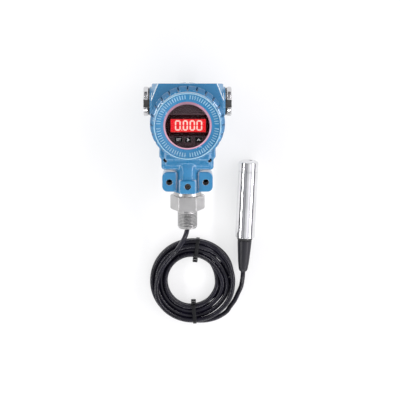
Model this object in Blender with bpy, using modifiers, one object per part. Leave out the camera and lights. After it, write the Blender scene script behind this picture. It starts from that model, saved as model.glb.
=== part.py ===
"""Submersible level transmitter: die-cast instrument head, process fitting, coiled cable and probe.

The object lies on its back as on a bench. Units are metres in the file and
millimetres in the dimensions below. +X is the head's right, +Y its top and
+Z comes out of the display. The origin is the centre of the rear cover's face.
"""
import math
import bpy
import bmesh
from mathutils import Matrix, Vector

MM = 0.001

# ---------------------------------------------------------------- dimensions
# covers and barrel, all on the Z axis
FRONT_FACE_Z = 84.0
COVER_R = 36.4
COVER_EDGE_Z = 63.5
COVER_RIM_R = 32.2
NECK_R = 31.3
BARREL_R = 31.3
SHOULDER_R = 33.4
SHOULDER_Z = 62.0
REAR_R = 30.8
REAR_NECK_R = 26.5
REAR_SHOULDER_Z = 14.0
THREAD_PITCH = 2.0
NOTCHES = 24
NOTCH_W = 1.7

# fitting and conduits
FIT_Z = 36.0
CONDUIT_Y = 16.6
BOSS_R = 14.5
BOSS_END_X = 37.2
PLUG_R = 14.5
BLOCK_X = 35.3
BLOCK_TOP = 37.3  # front edge; the top face falls away to the rear
BLOCK_TOP_REAR = 31.2

# neck
LUG_X, LUG_Y, LUG_HOLE_R = 18.1, -62.4, 3.1
BASE_Y = -74.0
SPLIT_Y = -34.0  # the casting is drawn as two solids that meet here, 0.3 mm apart

# process fitting
HEX_AF = 30.0
HEX_TOP_Y, HEX_BOTTOM_Y = -77.8, -92.0
THREAD_R = 10.0
THREAD_END_Y = -111.9

# cable
CABLE_D = 4.8
COIL_C = (5.8, -176.2)
COIL_RO, COIL_RI, COIL_H = 44.6, 24.9, 12.4

# probe, lying on its side
PROBE_R = 10.0
PROBE_LEAN = math.radians(2.36)
PROBE_BASE = (58.75, -129.5)
PROBE_LEN = 68.4
NOSE_LEN = 11.4
BOOT_LEN = 35.0

# ---------------------------------------------------------------- scene setup
for ob in list(bpy.data.objects):
    bpy.data.objects.remove(ob, do_unlink=True)

PARTS = bpy.data.collections.new("level_transmitter")
CUTTERS = bpy.data.collections.new("cutters")
bpy.context.scene.collection.children.link(PARTS)
bpy.context.scene.collection.children.link(CUTTERS)


def material(name, rgb, rough, metal=0.0, emit=None):
    m = bpy.data.materials.new(name)
    m.use_nodes = True
    b = m.node_tree.nodes["Principled BSDF"]
    b.inputs["Base Color"].default_value = (*rgb, 1.0)
    b.inputs["Roughness"].default_value = rough
    b.inputs["Metallic"].default_value = metal
    if emit:
        b.inputs["Emission Color"].default_value = (*emit, 1.0)
        b.inputs["Emission Strength"].default_value = 2.0
    m.diffuse_color = (*rgb, 1.0)
    return m


ENAMEL = ((0.075, 0.27, 0.52), 0.28, 0.0)
STEEL = ((0.62, 0.61, 0.58), 0.3, 1.0)
CHROME = ((0.8, 0.8, 0.8), 0.08, 1.0)
RUBBER = ((0.02, 0.02, 0.022), 0.6, 0.0)
BLACK = ((0.02, 0.02, 0.02), 0.4, 0.0)
BOARD = ((0.02, 0.16, 0.07), 0.5, 0.0)
BRASS = ((0.75, 0.55, 0.25), 0.3, 1.0)

# ---------------------------------------------------------------- modelling helpers
AXES = {
    "Z": (0.0, 0.0, 0.0),
    "-Z": (math.pi, 0.0, 0.0),
    "Y": (-math.pi / 2, 0.0, 0.0),
    "-Y": (math.pi / 2, 0.0, 0.0),
    "X": (0.0, math.pi / 2, 0.0),
    "-X": (0.0, -math.pi / 2, 0.0),
}


def register(ob, look=None, coll=None):
    (coll or PARTS).objects.link(ob)
    if coll is CUTTERS:
        ob.hide_render = True
        ob.display_type = "WIRE"
    elif look:
        ob.data.materials.append(material(ob.name + "_finish", *look))
    return ob


def place(ob, at=(0, 0, 0), rot=(0, 0, 0)):
    ob.location = Vector(at) * MM
    ob.rotation_euler = rot
    return ob


def mesh_object(name, bm, look=None, coll=None):
    me = bpy.data.meshes.new(name)
    bm.normal_update()
    bm.to_mesh(me)
    bm.free()
    return register(bpy.data.objects.new(name, me), look, coll)


def turned(name, profile, at=(0, 0, 0), axis="Z", look=None, steps=32, closed=False, coll=None, rot=None):
    """Revolve a profile of (radius, height) points; the outer side runs top to bottom."""
    bm = bmesh.new()
    vs = [bm.verts.new((r * MM, 0.0, h * MM)) for r, h in profile]
    for a, b in zip(vs, vs[1:]):
        bm.edges.new((a, b))
    if closed:
        bm.edges.new((vs[-1], vs[0]))
    ob = mesh_object(name, bm, look, coll)
    sc = ob.modifiers.new("turn", "SCREW")
    sc.axis = "Z"
    sc.angle = 2 * math.pi
    sc.steps = steps
    sc.render_steps = steps
    sc.use_merge_vertices = True
    sc.merge_threshold = 0.00001
    sc.use_smooth_shade = True
    return place(ob, at, rot if rot is not None else AXES[axis])


def box(name, size, at, look=None, bevel=0.0, segments=2, coll=None, rot=(0, 0, 0)):
    bm = bmesh.new()
    bmesh.ops.create_cube(bm, size=1.0)
    bmesh.ops.scale(bm, vec=Vector(size) * MM, verts=bm.verts)
    ob = mesh_object(name, bm, look, coll)
    if bevel:
        bv = ob.modifiers.new("edge", "BEVEL")
        bv.width = bevel * MM
        bv.segments = segments
        bv.limit_method = "ANGLE"
    return place(ob, at, rot)


def cylinder(name, r, length, at, axis="Z", look=None, verts=32, coll=None, r2=None, rot=None, spin=0.0):
    bm = bmesh.new()
    bmesh.ops.create_cone(bm, cap_ends=True, segments=verts, radius1=r * MM,
                          radius2=(r if r2 is None else r2) * MM, depth=length * MM)
    if spin:
        bmesh.ops.rotate(bm, cent=(0, 0, 0), matrix=Matrix.Rotation(spin, 3, "Z"), verts=bm.verts)
    ob = mesh_object(name, bm, look, coll)
    return place(ob, at, rot if rot is not None else AXES[axis])


def boolean(ob, other, op):
    md = ob.modifiers.new(op.lower(), "BOOLEAN")
    md.operation = op
    md.object = other
    md.solver = "EXACT"


def cut(ob, *others):
    for o in others:
        boolean(ob, o, "DIFFERENCE")


def add(ob, *others):
    for o in others:
        boolean(ob, o, "UNION")


def catmull(points, per_span):
    """Smooth curve through route points, with the same number of steps on each span."""
    pts = [Vector(p) for p in points]
    ext = [2 * pts[0] - pts[1]] + pts + [2 * pts[-1] - pts[-2]]
    out = []
    for i in range(1, len(ext) - 2):
        p0, p1, p2, p3 = ext[i - 1:i + 3]
        for k in range(per_span):
            t = k / per_span
            out.append(0.5 * ((2 * p1) + (p2 - p0) * t + (2 * p0 - 5 * p1 + 4 * p2 - p3) * t * t
                              + (3 * p1 - p0 - 3 * p2 + p3) * t ** 3))
    out.append(pts[-1])
    return out


def tube(name, points, diameter, look, resolution=2):
    cu = bpy.data.curves.new(name, "CURVE")
    cu.dimensions = "3D"
    cu.bevel_depth = diameter / 2 * MM
    cu.bevel_resolution = resolution
    cu.use_fill_caps = True
    sp = cu.splines.new("POLY")
    sp.points.add(len(points) - 1)
    for p, q in zip(sp.points, points):
        p.co = (q[0] * MM, q[1] * MM, q[2] * MM, 1.0)
    return register(bpy.data.objects.new(name, cu), look)


# ---------------------------------------------------------------- housing
def build_housing():
    barrel = turned("housing", [
        (0, SHOULDER_Z + 9), (NECK_R, SHOULDER_Z + 9), (NECK_R, SHOULDER_Z), (SHOULDER_R, SHOULDER_Z),
        (SHOULDER_R, 57.5), (BARREL_R, 55.5), (BARREL_R, REAR_SHOULDER_Z + 1.0), (BARREL_R - 1, REAR_SHOULDER_Z),
        (REAR_NECK_R, REAR_SHOULDER_Z), (REAR_NECK_R, 5.0), (0, 5.0)], look=ENAMEL, steps=40)

    # flat-topped block that carries the conduit bosses, with its two front corners cut to triangles
    bm = bmesh.new()
    bmesh.ops.create_cube(bm, size=1.0)
    z0, z1, y0 = 16.0, 55.0, -2.0
    bmesh.ops.scale(bm, vec=Vector((2 * BLOCK_X, BLOCK_TOP - y0, z1 - z0)) * MM, verts=bm.verts)
    bmesh.ops.translate(bm, vec=Vector((0, (BLOCK_TOP + y0) / 2, (z0 + z1) / 2)) * MM, verts=bm.verts)
    fall = (BLOCK_TOP - BLOCK_TOP_REAR) / (z1 - z0)
    planes = [(Vector((0, BLOCK_TOP, z1)), Vector((0, 1, -fall)))]
    for s in (-1, 1):
        a = Vector((s * 28.8, BLOCK_TOP, z1))
        b = Vector((s * BLOCK_X, BLOCK_TOP - fall * 17.0, z1 - 17.0))
        c = Vector((s * BLOCK_X, 20.5, z1))
        n = (b - a).cross(c - a)
        if n.dot(Vector((s, 1, 1))) < 0:
            n = -n
        planes.append((a, n))
    for a, n in planes:
        n = n.normalized()
        geom = bm.verts[:] + bm.edges[:] + bm.faces[:]
        res = bmesh.ops.bisect_plane(bm, geom=geom, plane_co=a * MM, plane_no=n, clear_outer=True, dist=1e-7)
        rim = [e for e in res["geom_cut"] if isinstance(e, bmesh.types.BMEdge)]
        bmesh.ops.contextual_create(bm, geom=rim)
    bmesh.ops.recalc_face_normals(bm, faces=bm.faces)
    block = mesh_object("cut_block", bm, coll=CUTTERS)

    bosses = cylinder("cut_bosses", BOSS_R, 2 * BOSS_END_X, (0, CONDUIT_Y, FIT_Z), "X", verts=32, coll=CUTTERS)
    wings = box("cut_wings", (55.6, 20, 25), (0, -28.2, 37.5), bevel=1.6, segments=1, coll=CUTTERS)
    add(barrel, block, bosses, wings)

    front = cylinder("cut_front_chamber", 28.2, 30, (0, 0, 49.5 + 15), verts=40, coll=CUTTERS)
    rear = cylinder("cut_rear_chamber", 23.0, 46, (0, 0, 23), verts=40, coll=CUTTERS)
    bores = [cylinder("cut_conduit_%d" % i, 8.6, 24, (s * 27.5, CONDUIT_Y, FIT_Z), "X", verts=24, coll=CUTTERS)
             for i, s in enumerate((-1, 1))]
    wire = cylinder("cut_wire", 4.0, 10, (0, 14, 47.5), verts=16, coll=CUTTERS)
    lead = cylinder("cut_lead", 4.5, 36, (0, -32, FIT_Z), "Y", verts=16, coll=CUTTERS)
    below = box("cut_below", (90, 40, 90), (0, SPLIT_Y + 0.15 - 20, 40), coll=CUTTERS)
    cut(barrel, front, rear, *bores, wire, lead, below)
    build_neck(wings, lead)
    return barrel


def build_neck(wings, lead):
    """The casting's foot: shoulder, core, mounting lugs and clamp boss, with the socket for the fitting."""
    neck = box("housing_neck", (52, 20, 24), (0, -40.5, 37), look=ENAMEL, bevel=2.6, segments=1)
    core = cylinder("cut_core", 14.8, 36, (0, BASE_Y + 18, FIT_Z), "Y", verts=32, coll=CUTTERS)
    rib = box("cut_rib", (9.2, 24, 14), (0, -52, 46.6), bevel=1.0, segments=1, coll=CUTTERS)
    boss = box("cut_boss", (16, 13.6, 14), (0.2, -66.6, 47.5), bevel=1.8, segments=1, coll=CUTTERS)
    lugs = [box("cut_lug_%d" % i, (14, 20, 19), (s * LUG_X, -62, 40.5), bevel=2.6, coll=CUTTERS)
            for i, s in enumerate((-1, 1))]
    webs = box("cut_webs", (26, 15, 12), (0, -60, 38), coll=CUTTERS)
    add(neck, wings, core, webs, rib, boss, *lugs)

    socket = cylinder("cut_socket", 10.6, 30, (0, BASE_Y - 2 + 15, FIT_Z), "Y", verts=32, coll=CUTTERS)
    holes = [cylinder("cut_hole_%d" % i, LUG_HOLE_R, 26, (s * LUG_X, LUG_Y, 47), verts=24, coll=CUTTERS)
             for i, s in enumerate((-1, 1))]
    dots = [cylinder("cut_dot_%d" % i, 1.8, 12, (s * 21.9, -40.0, 48), verts=16, coll=CUTTERS)
            for i, s in enumerate((-1, 1))]
    screw = cylinder("cut_screw", 3.1, 12, (0.2, -66.0, 52.2), verts=20, coll=CUTTERS)
    above = box("cut_above", (90, 60, 90), (0, SPLIT_Y - 0.15 + 30, 40), coll=CUTTERS)
    cut(neck, socket, lead, *holes, *dots, screw, above)
    return neck


def notch_cutter(name, radius_in, z0, z1, count, width, phase=0.0):
    bm = bmesh.new()
    for i in range(count):
        a = phase + 2 * math.pi * i / count
        res = bmesh.ops.create_cube(bm, size=1.0)
        vs = res["verts"]
        bmesh.ops.scale(bm, vec=Vector((8, width, z1 - z0)) * MM, verts=vs)
        bmesh.ops.translate(bm, vec=Vector((radius_in + 4, 0, (z0 + z1) / 2)) * MM, verts=vs)
        bmesh.ops.rotate(bm, cent=(0, 0, 0), matrix=Matrix.Rotation(a, 3, "Z"), verts=vs)
    return mesh_object(name, bm, coll=CUTTERS)


def build_covers():
    zf = FRONT_FACE_Z
    front = turned("front_cover", [
        (31.3, zf), (COVER_RIM_R, zf), (32.8, zf - 0.7), (32.8, 79.2), (33.1, 79.2), (34.1, 78.3), (COVER_R, 69.0),
        (COVER_R, COVER_EDGE_Z),
        (31.7, COVER_EDGE_Z), (31.7, 72.6), (28.4, 72.6), (28.4, 79.9), (24.2, 79.9), (24.2, 80.9),
        (24.9, 81.2), (31.0, 83.0)], look=ENAMEL, closed=True, steps=48)
    cut(front, notch_cutter("cut_front_notches", 33.6, 65.5, zf + 1, NOTCHES, NOTCH_W))
    rear = turned("rear_cover", [
        (0, 4.0), (26.9, 4.0), (26.9, 12.5), (REAR_R, 12.5), (REAR_R, 4.0), (29.4, 1.0), (27.4, 0), (0, 0)],
        look=ENAMEL)
    cut(rear, notch_cutter("cut_rear_notches", 29.3, -1, 10.0, 16, 2.4))
    turned("front_cover_seal", [(33.2, 63.2), (33.2, 62.3), (31.8, 62.3), (31.8, 63.2)], look=RUBBER, closed=True)
    turned("rear_cover_seal", [(30.2, 13.7), (30.2, 12.8), (27.0, 12.8), (27.0, 13.7)], look=RUBBER, closed=True)
    turned("window_glass", [
        (0, 83.2), (22.2, 83.2), (23.8, 81.4), (23.8, 79.6), (26.4, 79.6), (26.4, 76.4), (0, 76.4)],
        look=((0.6, 0.62, 0.65), 0.02, 0.0))
    turned("window_gasket", [(28.2, 79.6), (28.2, 76.4), (26.7, 76.4), (26.7, 79.6)], look=RUBBER, closed=True)
    turned("window_retainer", [(28.1, 76.1), (28.1, 73.0), (24.6, 73.0), (24.6, 76.1)], look=STEEL, closed=True)


def build_plug(side, s):
    axis = "X" if s > 0 else "-X"
    at = (0, CONDUIT_Y, FIT_Z)
    plug = turned(side + "_plug", [
        (0, 43.3), (13.6, 43.3), (PLUG_R, 42.5), (PLUG_R, 39.3), (13.9, 38.7), (8.2, 38.7), (8.2, 29.2),
        (7.4, 28.4), (0, 28.4)], at=at, axis=axis, look=CHROME, steps=32)
    for i, t in enumerate((-1, 1)):
        cut(plug, box("cut_%s_slot_%d" % (side, i), (8, 7.4, 4), (s * 41, CONDUIT_Y, FIT_Z + t * 14.6), coll=CUTTERS))
    turned(side + "_plug_seal", [(13.6, 38.4), (13.6, 37.5), (9.0, 37.5), (9.0, 38.4)],
           at=at, axis=axis, look=RUBBER, closed=True)


# ---------------------------------------------------------------- electronics
KEYS = (("set_button", -8.7, 7.0), ("shift_button", 0.5, 5.4), ("up_button", 10.8, 6.0))
KEY_Y, KEY_H = -14.9, 4.5
WINDOW_C = (0.7, -1.4)
WINDOW_W, WINDOW_H = 34.0, 13.0


def build_display():
    plate = cylinder("display_faceplate", 25.6, 1.5, (0, 0, 71.25), look=BLACK, verts=48)
    cut(plate, box("cut_window", (WINDOW_W + 0.6, WINDOW_H + 0.6, 4), (*WINDOW_C, 71.25), coll=CUTTERS))
    for name, x, w in KEYS:
        cut(plate, box("cut_" + name, (w + 0.6, KEY_H + 0.6, 4), (x, KEY_Y, 71.25), coll=CUTTERS))
        box(name, (w, KEY_H, 4.2), (x, KEY_Y, 70.9), look=BLACK, bevel=0.5)
    box("display_filter", (WINDOW_W, WINDOW_H, 1.6), (*WINDOW_C, 71.5), look=((0.9, 0.01, 0.02), 0.2, 0.0))
    for i, (a, b) in enumerate(((-12.3, -6.4), (-4.7, 0.5), (1.9, 7.4), (8.5, 14.4))):
        box("digit_%d" % (i + 1), (b - a, 10.2, 3.4), ((a + b) / 2, -1.25, 68.7), look=((0.9, 0.8, 0.7), 0.4, 0.0))
    cylinder("display_board", 25.6, 1.6, (0, 0, 65.9), look=BOARD, verts=40)
    cylinder("main_board", 25.6, 1.6, (0, 0, 53.2), look=BOARD, verts=40)
    for i in range(3):
        a = math.radians(90 + 120 * i)
        cylinder("standoff_%d" % (i + 1), 2.4, 10.5, (21 * math.cos(a), 21 * math.sin(a), 59.55), look=BRASS, verts=6)
    box("terminal_block", (32, 13, 11.6), (0, -9.0, 39.9), look=BLACK, bevel=0.8)
    for i, x in enumerate((-10, 0, 10)):
        cylinder("terminal_screw_%d" % (i + 1), 2.6, 2.0, (x, -9.0, 32.8), look=BRASS, verts=16)
    cylinder("ground_screw", 3.4, 3.0, (-9.0, 15.5, 44.2), look=BRASS, verts=16)


# ---------------------------------------------------------------- neck hardware and fitting
def build_fitting():
    screw = cylinder("clamp_screw", 2.8, 4.8, (0.2, -66.0, 49.0), look=STEEL, verts=20)
    cut(screw, cylinder("cut_hex", 1.5, 5, (0.2, -66.0, 51.6), verts=6, coll=CUTTERS))
    turned("fitting_collar", [(13.8, 77.5), (13.8, 74.3), (10.6, 74.3), (10.6, 77.5)], at=(0, 0, FIT_Z), axis="-Y",
           look=STEEL, closed=True)
    # turned stub, groove and threaded length; heights run down the -Y axis
    fitting = turned("process_fitting", [
        (THREAD_R - 1.4, 111.9), (THREAD_R, 110.3), (THREAD_R, 94.9), (9.0, 94.4), (9.0, 92.6), (10.3, 90.0),
        (10.3, 52.6), (3.1, 52.6), (3.1, 103.8), (5.0, 104.2), (5.0, 111.9)],
        at=(0, 0, FIT_Z), axis="-Y", look=STEEL, closed=True, steps=32)
    r = HEX_AF / math.sqrt(3)
    mid, depth = (HEX_TOP_Y + HEX_BOTTOM_Y) / 2, HEX_TOP_Y - HEX_BOTTOM_Y
    nut = cylinder("cut_nut", r, depth, (0, mid, FIT_Z), "-Y", verts=6, coll=CUTTERS, spin=math.pi / 6)
    # the hexagon's corners are turned down at both ends
    crown = turned("cut_crown", [
        (0, -HEX_BOTTOM_Y + 1), (r - 2.9, -HEX_BOTTOM_Y + 1), (r + 1.2, -HEX_BOTTOM_Y - 1.4), (r + 1.2, -HEX_TOP_Y + 1.4),
        (r - 2.9, -HEX_TOP_Y - 1), (0, -HEX_TOP_Y - 1)],
        at=(0, 0, FIT_Z), axis="-Y", coll=CUTTERS, steps=32)
    boolean(nut, crown, "INTERSECT")
    hollow = cylinder("cut_hollow", 9.6, depth + 6, (0, mid, FIT_Z), "-Y", verts=32, coll=CUTTERS)
    cut(nut, hollow)
    add(fitting, nut)
    turned("cable_grommet", [(4.7, 111.6), (4.7, 104.6), (2.75, 104.6), (2.75, 111.6)], at=(0, 0, FIT_Z), axis="-Y",
           look=RUBBER, closed=True, steps=24)


# ---------------------------------------------------------------- cable
def lead_route():
    """From the grommet, over the coil's outer turns and down onto the coil."""
    return [(0, -106.0, FIT_Z), (0, -112.0, FIT_Z - 0.2), (-1.6, -119.5, 34.4), (-4.6, -127.5, 29.2),
            (-8.2, -135.0, 22.8), (-12.6, -142.4, 17.6), (-18.4, -149.6, 15.4)]


def tail_route():
    """Along the floor beside the coil and up into the boot's mouth."""
    ux, uy = math.sin(PROBE_LEAN), math.cos(PROBE_LEAN)
    bx, by = PROBE_BASE[0] - ux * BOOT_LEN, PROBE_BASE[1] - uy * BOOT_LEN
    pts = []
    for deg, rad in ((-38, 48.2), (-27, 48.6)):
        a = math.radians(deg)
        pts.append((COIL_C[0] + rad * math.cos(a), COIL_C[1] + rad * math.sin(a), CABLE_D / 2 + 0.05))
    pts += [(52.6, -190.4, 2.6), (55.6, -182.6, 4.6), (bx - ux * 7.5, by - uy * 7.5, 8.1),
            (bx - ux * 1.5, by - uy * 1.5, PROBE_R - 0.1), (bx + ux * 4, by + uy * 4, PROBE_R)]
    return pts


def build_cable():
    tube("cable_lead", catmull(lead_route(), 3), CABLE_D, RUBBER, 3)
    tube("cable_tail", catmull(tail_route(), 2), CABLE_D, RUBBER, 3)
    c = 2.2
    coil = turned("cable_coil", [
        (COIL_RI + c, COIL_H), (COIL_RO - c, COIL_H), (COIL_RO, COIL_H - c), (COIL_RO, 0.1 + c), (COIL_RO - c, 0.1),
        (COIL_RI + c, 0.1), (COIL_RI, 0.1 + c), (COIL_RI, COIL_H - c)],
        at=(*COIL_C, 0), look=RUBBER, closed=True, steps=48)
    for name, x, ang in (("top", 6.4, 84.0), ("bottom", 8.3, -88.0)):
        build_tie("cable_tie_" + name, math.radians(ang), coil)


def strap(name, width, length, height, wall, look=None, coll=None):
    """Closed band round a bundle: local X is radial, local Y runs along the cable."""
    outer = box(name, (length, width, height), (0, 0, 0), look=look, coll=coll)
    md = outer.modifiers.new("round", "BEVEL")
    md.width = 2.0 * MM
    md.segments = 2
    md.limit_method = "NONE"
    md.affect = "EDGES"
    md.limit_method = "WEIGHT"
    attr = outer.data.attributes.new("bevel_weight_edge", "FLOAT", "EDGE")
    for e in outer.data.edges:
        a, b = (outer.data.vertices[i].co for i in e.vertices)
        attr.data[e.index].value = 1.0 if abs((a - b).y) > width * MM * 0.9 else 0.0
    return outer


def build_tie(name, angle, coil):
    mid_r = (COIL_RO + COIL_RI) / 2
    span = COIL_RO - COIL_RI
    cx = COIL_C[0] + mid_r * math.cos(angle)
    cy = COIL_C[1] + mid_r * math.sin(angle)
    rot = (0, 0, angle)
    mid_z = (COIL_H + 0.1) / 2
    tie = strap(name, 3.6, span + 0.6, COIL_H + 0.5, 1.2, look=BLACK)
    place(tie, (cx, cy, mid_z + 0.2), rot)
    hole = strap("cut_" + name + "_hole", 5.0, span - 1.6, COIL_H - 1.7, 1.2, coll=CUTTERS)
    place(hole, (cx, cy, mid_z + 0.2), rot)
    cut(tie, hole)
    # the locking head sits inside the ring
    inner = mid_r - span / 2 - 1.9
    head = box("cut_" + name + "_head", (4.2, 4.6, 5.4),
               (COIL_C[0] + inner * math.cos(angle), COIL_C[1] + inner * math.sin(angle), 8.0),
               bevel=0.5, segments=1, coll=CUTTERS, rot=rot)
    add(tie, head)
    # groove pressed into the bundle under the band
    groove = strap("cut_" + name + "_groove", 4.4, span + 6, COIL_H + 8, 1.2, coll=CUTTERS)
    place(groove, (cx, cy, mid_z + 0.2), rot)
    keep = strap("cut_" + name + "_keep", 7.0, span - 2.2, COIL_H - 2.3, 1.2, coll=CUTTERS)
    place(keep, (cx, cy, mid_z + 0.2), rot)
    cut(groove, keep)
    cut(coil, groove)


# ---------------------------------------------------------------- probe
def build_probe():
    """Local +Z of each turned piece runs along the leaning probe axis, from the boot to the nose."""
    ux, uy = math.sin(PROBE_LEAN), math.cos(PROBE_LEAN)
    rot = (-math.pi / 2, 0.0, -PROBE_LEAN)

    def at(s):
        return (PROBE_BASE[0] + ux * s, PROBE_BASE[1] + uy * s, PROBE_R)

    R = PROBE_R
    base = at(0)
    turned("probe_tube", [
        (8.6, PROBE_LEN + 1), (R, PROBE_LEN + 1), (R, 1.9), (R - 0.6, 1.3), (3.2, 1.3), (3.2, 5.5), (8.6, 5.5)],
        at=base, rot=rot, look=STEEL, closed=True, steps=32)
    top = PROBE_LEN + 1 + NOSE_LEN
    nose = turned("probe_nose", [
        (0, top), (R - 1.8, top), (R - 0.5, top - 0.5), (R, top - 1.8), (R, PROBE_LEN + 2.4), (8.2, PROBE_LEN + 2.4),
        (8.2, PROBE_LEN - 4.0), (6.8, PROBE_LEN - 4.0), (6.8, top - 3.0), (0, top - 3.0)],
        at=base, rot=rot, look=STEEL, steps=32)
    hole = cylinder("cut_pressure", 1.4, 8, (0, 0, 0), verts=16, coll=CUTTERS)
    hx, hz = 2.4, -3.2
    hole.rotation_euler = rot
    p = at(top)
    hole.location = Vector((p[0] + hx * uy, p[1] - hx * ux, p[2] + hz)) * MM
    cut(nose, hole)
    turned("nose_seal", [
        (R - 0.4, PROBE_LEN + 2.2), (R - 0.4, PROBE_LEN + 1.2), (8.4, PROBE_LEN + 1.2), (8.4, PROBE_LEN + 2.2)],
        at=base, rot=rot, look=RUBBER, closed=True, steps=32)
    turned("sensor_cell", [(0, PROBE_LEN - 5.0), (8.3, PROBE_LEN - 5.0), (8.3, PROBE_LEN - 15), (0, PROBE_LEN - 15)],
           at=base, rot=rot, look=STEEL, steps=32)
    bx = at(30)
    box("probe_board", (11, 36, 1.6), (bx[0], bx[1], R), look=BOARD, rot=(0, 0, -PROBE_LEAN))
    turned("probe_collar", [(7.8, 1.0), (7.8, -1.4), (7.4, -1.7), (3.2, -1.7), (3.2, 1.0)], at=base, rot=rot,
           look=RUBBER, closed=True, steps=32)
    turned("probe_boot", [
        (7.2, -2.0), (6.7, -12.0), (5.7, -25.0), (4.5, -33.4), (3.4, -BOOT_LEN), (2.75, -BOOT_LEN), (2.75, -2.0)],
        at=base, rot=rot, look=RUBBER, closed=True, steps=32)


build_housing()
build_covers()
build_plug("left", -1)
build_plug("right", 1)
build_display()
build_fitting()
build_cable()
build_probe()
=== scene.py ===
import math

import bpy
import bmesh
import numpy as np
from mathutils import Matrix, Vector


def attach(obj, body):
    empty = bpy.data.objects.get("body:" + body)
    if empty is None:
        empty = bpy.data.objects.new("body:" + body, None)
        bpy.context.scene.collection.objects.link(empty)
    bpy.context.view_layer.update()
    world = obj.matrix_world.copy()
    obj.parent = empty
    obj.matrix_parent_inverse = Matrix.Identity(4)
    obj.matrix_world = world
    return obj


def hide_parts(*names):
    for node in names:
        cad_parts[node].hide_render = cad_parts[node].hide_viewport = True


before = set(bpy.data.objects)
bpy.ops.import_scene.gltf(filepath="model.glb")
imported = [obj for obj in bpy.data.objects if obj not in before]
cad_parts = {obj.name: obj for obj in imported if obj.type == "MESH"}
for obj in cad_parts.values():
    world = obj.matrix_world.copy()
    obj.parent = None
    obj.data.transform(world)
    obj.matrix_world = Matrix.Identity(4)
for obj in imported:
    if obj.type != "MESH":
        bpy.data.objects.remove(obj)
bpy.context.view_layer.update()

MM = 0.001
scene = bpy.context.scene

# ================================================================ camera
TILT = math.radians(13.0)
cam_data = bpy.data.cameras.new("camera")
cam_data.lens = 135.0
cam_data.sensor_width = 36.0
cam_data.shift_x = 0.03125
cam_data.clip_start = 0.05
cam = bpy.data.objects.new("camera", cam_data)
cam.location = (0.0, 0.25492, 1.50156)
cam.rotation_euler = (-TILT, 0.0, 0.0)
scene.collection.objects.link(cam)
scene.camera = cam
scene.view_settings.view_transform = "Standard"


# ================================================================ materials
def new_mat(name, color=(0.8, 0.8, 0.8), rough=0.5, metal=0.0, **kw):
    m = bpy.data.materials.new(name)
    m.use_nodes = True
    nt = m.node_tree
    b = nt.nodes["Principled BSDF"]
    b.inputs["Base Color"].default_value = (*color, 1.0)
    b.inputs["Roughness"].default_value = rough
    b.inputs["Metallic"].default_value = metal
    for k, v in kw.items():
        b.inputs[k.replace("_", " ")].default_value = v
    m.diffuse_color = (*color, 1.0)
    return m, nt, b


def coords(nt, scale=(1, 1, 1), rot=(0, 0, 0)):
    tc = nt.nodes.new("ShaderNodeTexCoord")
    mp = nt.nodes.new("ShaderNodeMapping")
    mp.inputs["Scale"].default_value = scale
    mp.inputs["Rotation"].default_value = rot
    nt.links.new(tc.outputs["Object"], mp.inputs["Vector"])
    return mp.outputs["Vector"]


def noise(nt, vec, scale, detail=3.0, rough=0.55):
    n = nt.nodes.new("ShaderNodeTexNoise")
    n.inputs["Scale"].default_value = scale
    n.inputs["Detail"].default_value = detail
    n.inputs["Roughness"].default_value = rough
    nt.links.new(vec, n.inputs["Vector"])
    return n.outputs["Fac"]


def ramp(nt, fac, stops):
    r = nt.nodes.new("ShaderNodeValToRGB")
    el = r.color_ramp.elements
    while len(el) < len(stops):
        el.new(0.5)
    for e, (p, c) in zip(el, stops):
        e.position = p
        e.color = (*c, 1.0) if len(c) == 3 else c
    nt.links.new(fac, r.inputs["Fac"])
    return r.outputs["Color"]


def remap(nt, fac, a, b, c, d):
    m = nt.nodes.new("ShaderNodeMapRange")
    m.inputs["From Min"].default_value = a
    m.inputs["From Max"].default_value = b
    m.inputs["To Min"].default_value = c
    m.inputs["To Max"].default_value = d
    nt.links.new(fac, m.inputs["Value"])
    return m.outputs["Result"]


def mixc(nt, fac, a, b):
    m = nt.nodes.new("ShaderNodeMix")
    m.data_type = "RGBA"
    nt.links.new(fac, m.inputs["Factor"])
    for sock, v in ((m.inputs[6], a), (m.inputs[7], b)):
        if isinstance(v, tuple):
            sock.default_value = (*v, 1.0)
        else:
            nt.links.new(v, sock)
    return m.outputs[2]


def bump(nt, b, height, strength, dist, prev=None):
    n = nt.nodes.new("ShaderNodeBump")
    n.inputs["Strength"].default_value = strength
    n.inputs["Distance"].default_value = dist
    nt.links.new(height, n.inputs["Height"])
    if prev is not None:
        nt.links.new(prev, n.inputs["Normal"])
    nt.links.new(n.outputs["Normal"], b.inputs["Normal"])
    return n.outputs["Normal"]


def enamel():
    """Gloss enamel over a die casting: slight colour drift, a painted highlight that lightens convex edges, orange
    peel.
    """
    m, nt, b = new_mat("enamel", (0.018, 0.180, 0.365), 0.34, 0.0, Coat_Weight=1.0, Coat_Roughness=0.07, Coat_IOR=1.45,
                       Specular_IOR_Level=0.3)
    v = coords(nt)
    drift = ramp(nt, noise(nt, v, 26.0, 3.0), [(0.3, (0.014, 0.165, 0.340)), (0.7, (0.024, 0.198, 0.395))])
    geo = nt.nodes.new("ShaderNodeNewGeometry")
    # painted highlight: convex edges (high pointiness) turn light blue
    edge = ramp(nt, geo.outputs["Pointiness"], [(0.535, (0, 0, 0)), (0.62, (0.60, 0.60, 0.60))])
    col = mixc(nt, edge, drift, (0.42, 0.66, 0.86))
    specks = ramp(nt, noise(nt, v, 900.0, 1.0), [(0.27, (1, 1, 1)), (0.31, (0, 0, 0))])
    col = mixc(nt, specks, col, (0.014, 0.12, 0.27))
    nt.links.new(col, b.inputs["Base Color"])
    nt.links.new(remap(nt, noise(nt, v, 120.0, 4.0), 0.3, 0.7, 0.24, 0.36), b.inputs["Roughness"])
    n1 = bump(nt, b, noise(nt, v, 420.0, 2.0), 0.10, 0.0006)
    bump(nt, b, noise(nt, v, 70.0, 2.0), 0.10, 0.0020, n1)
    return m


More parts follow.
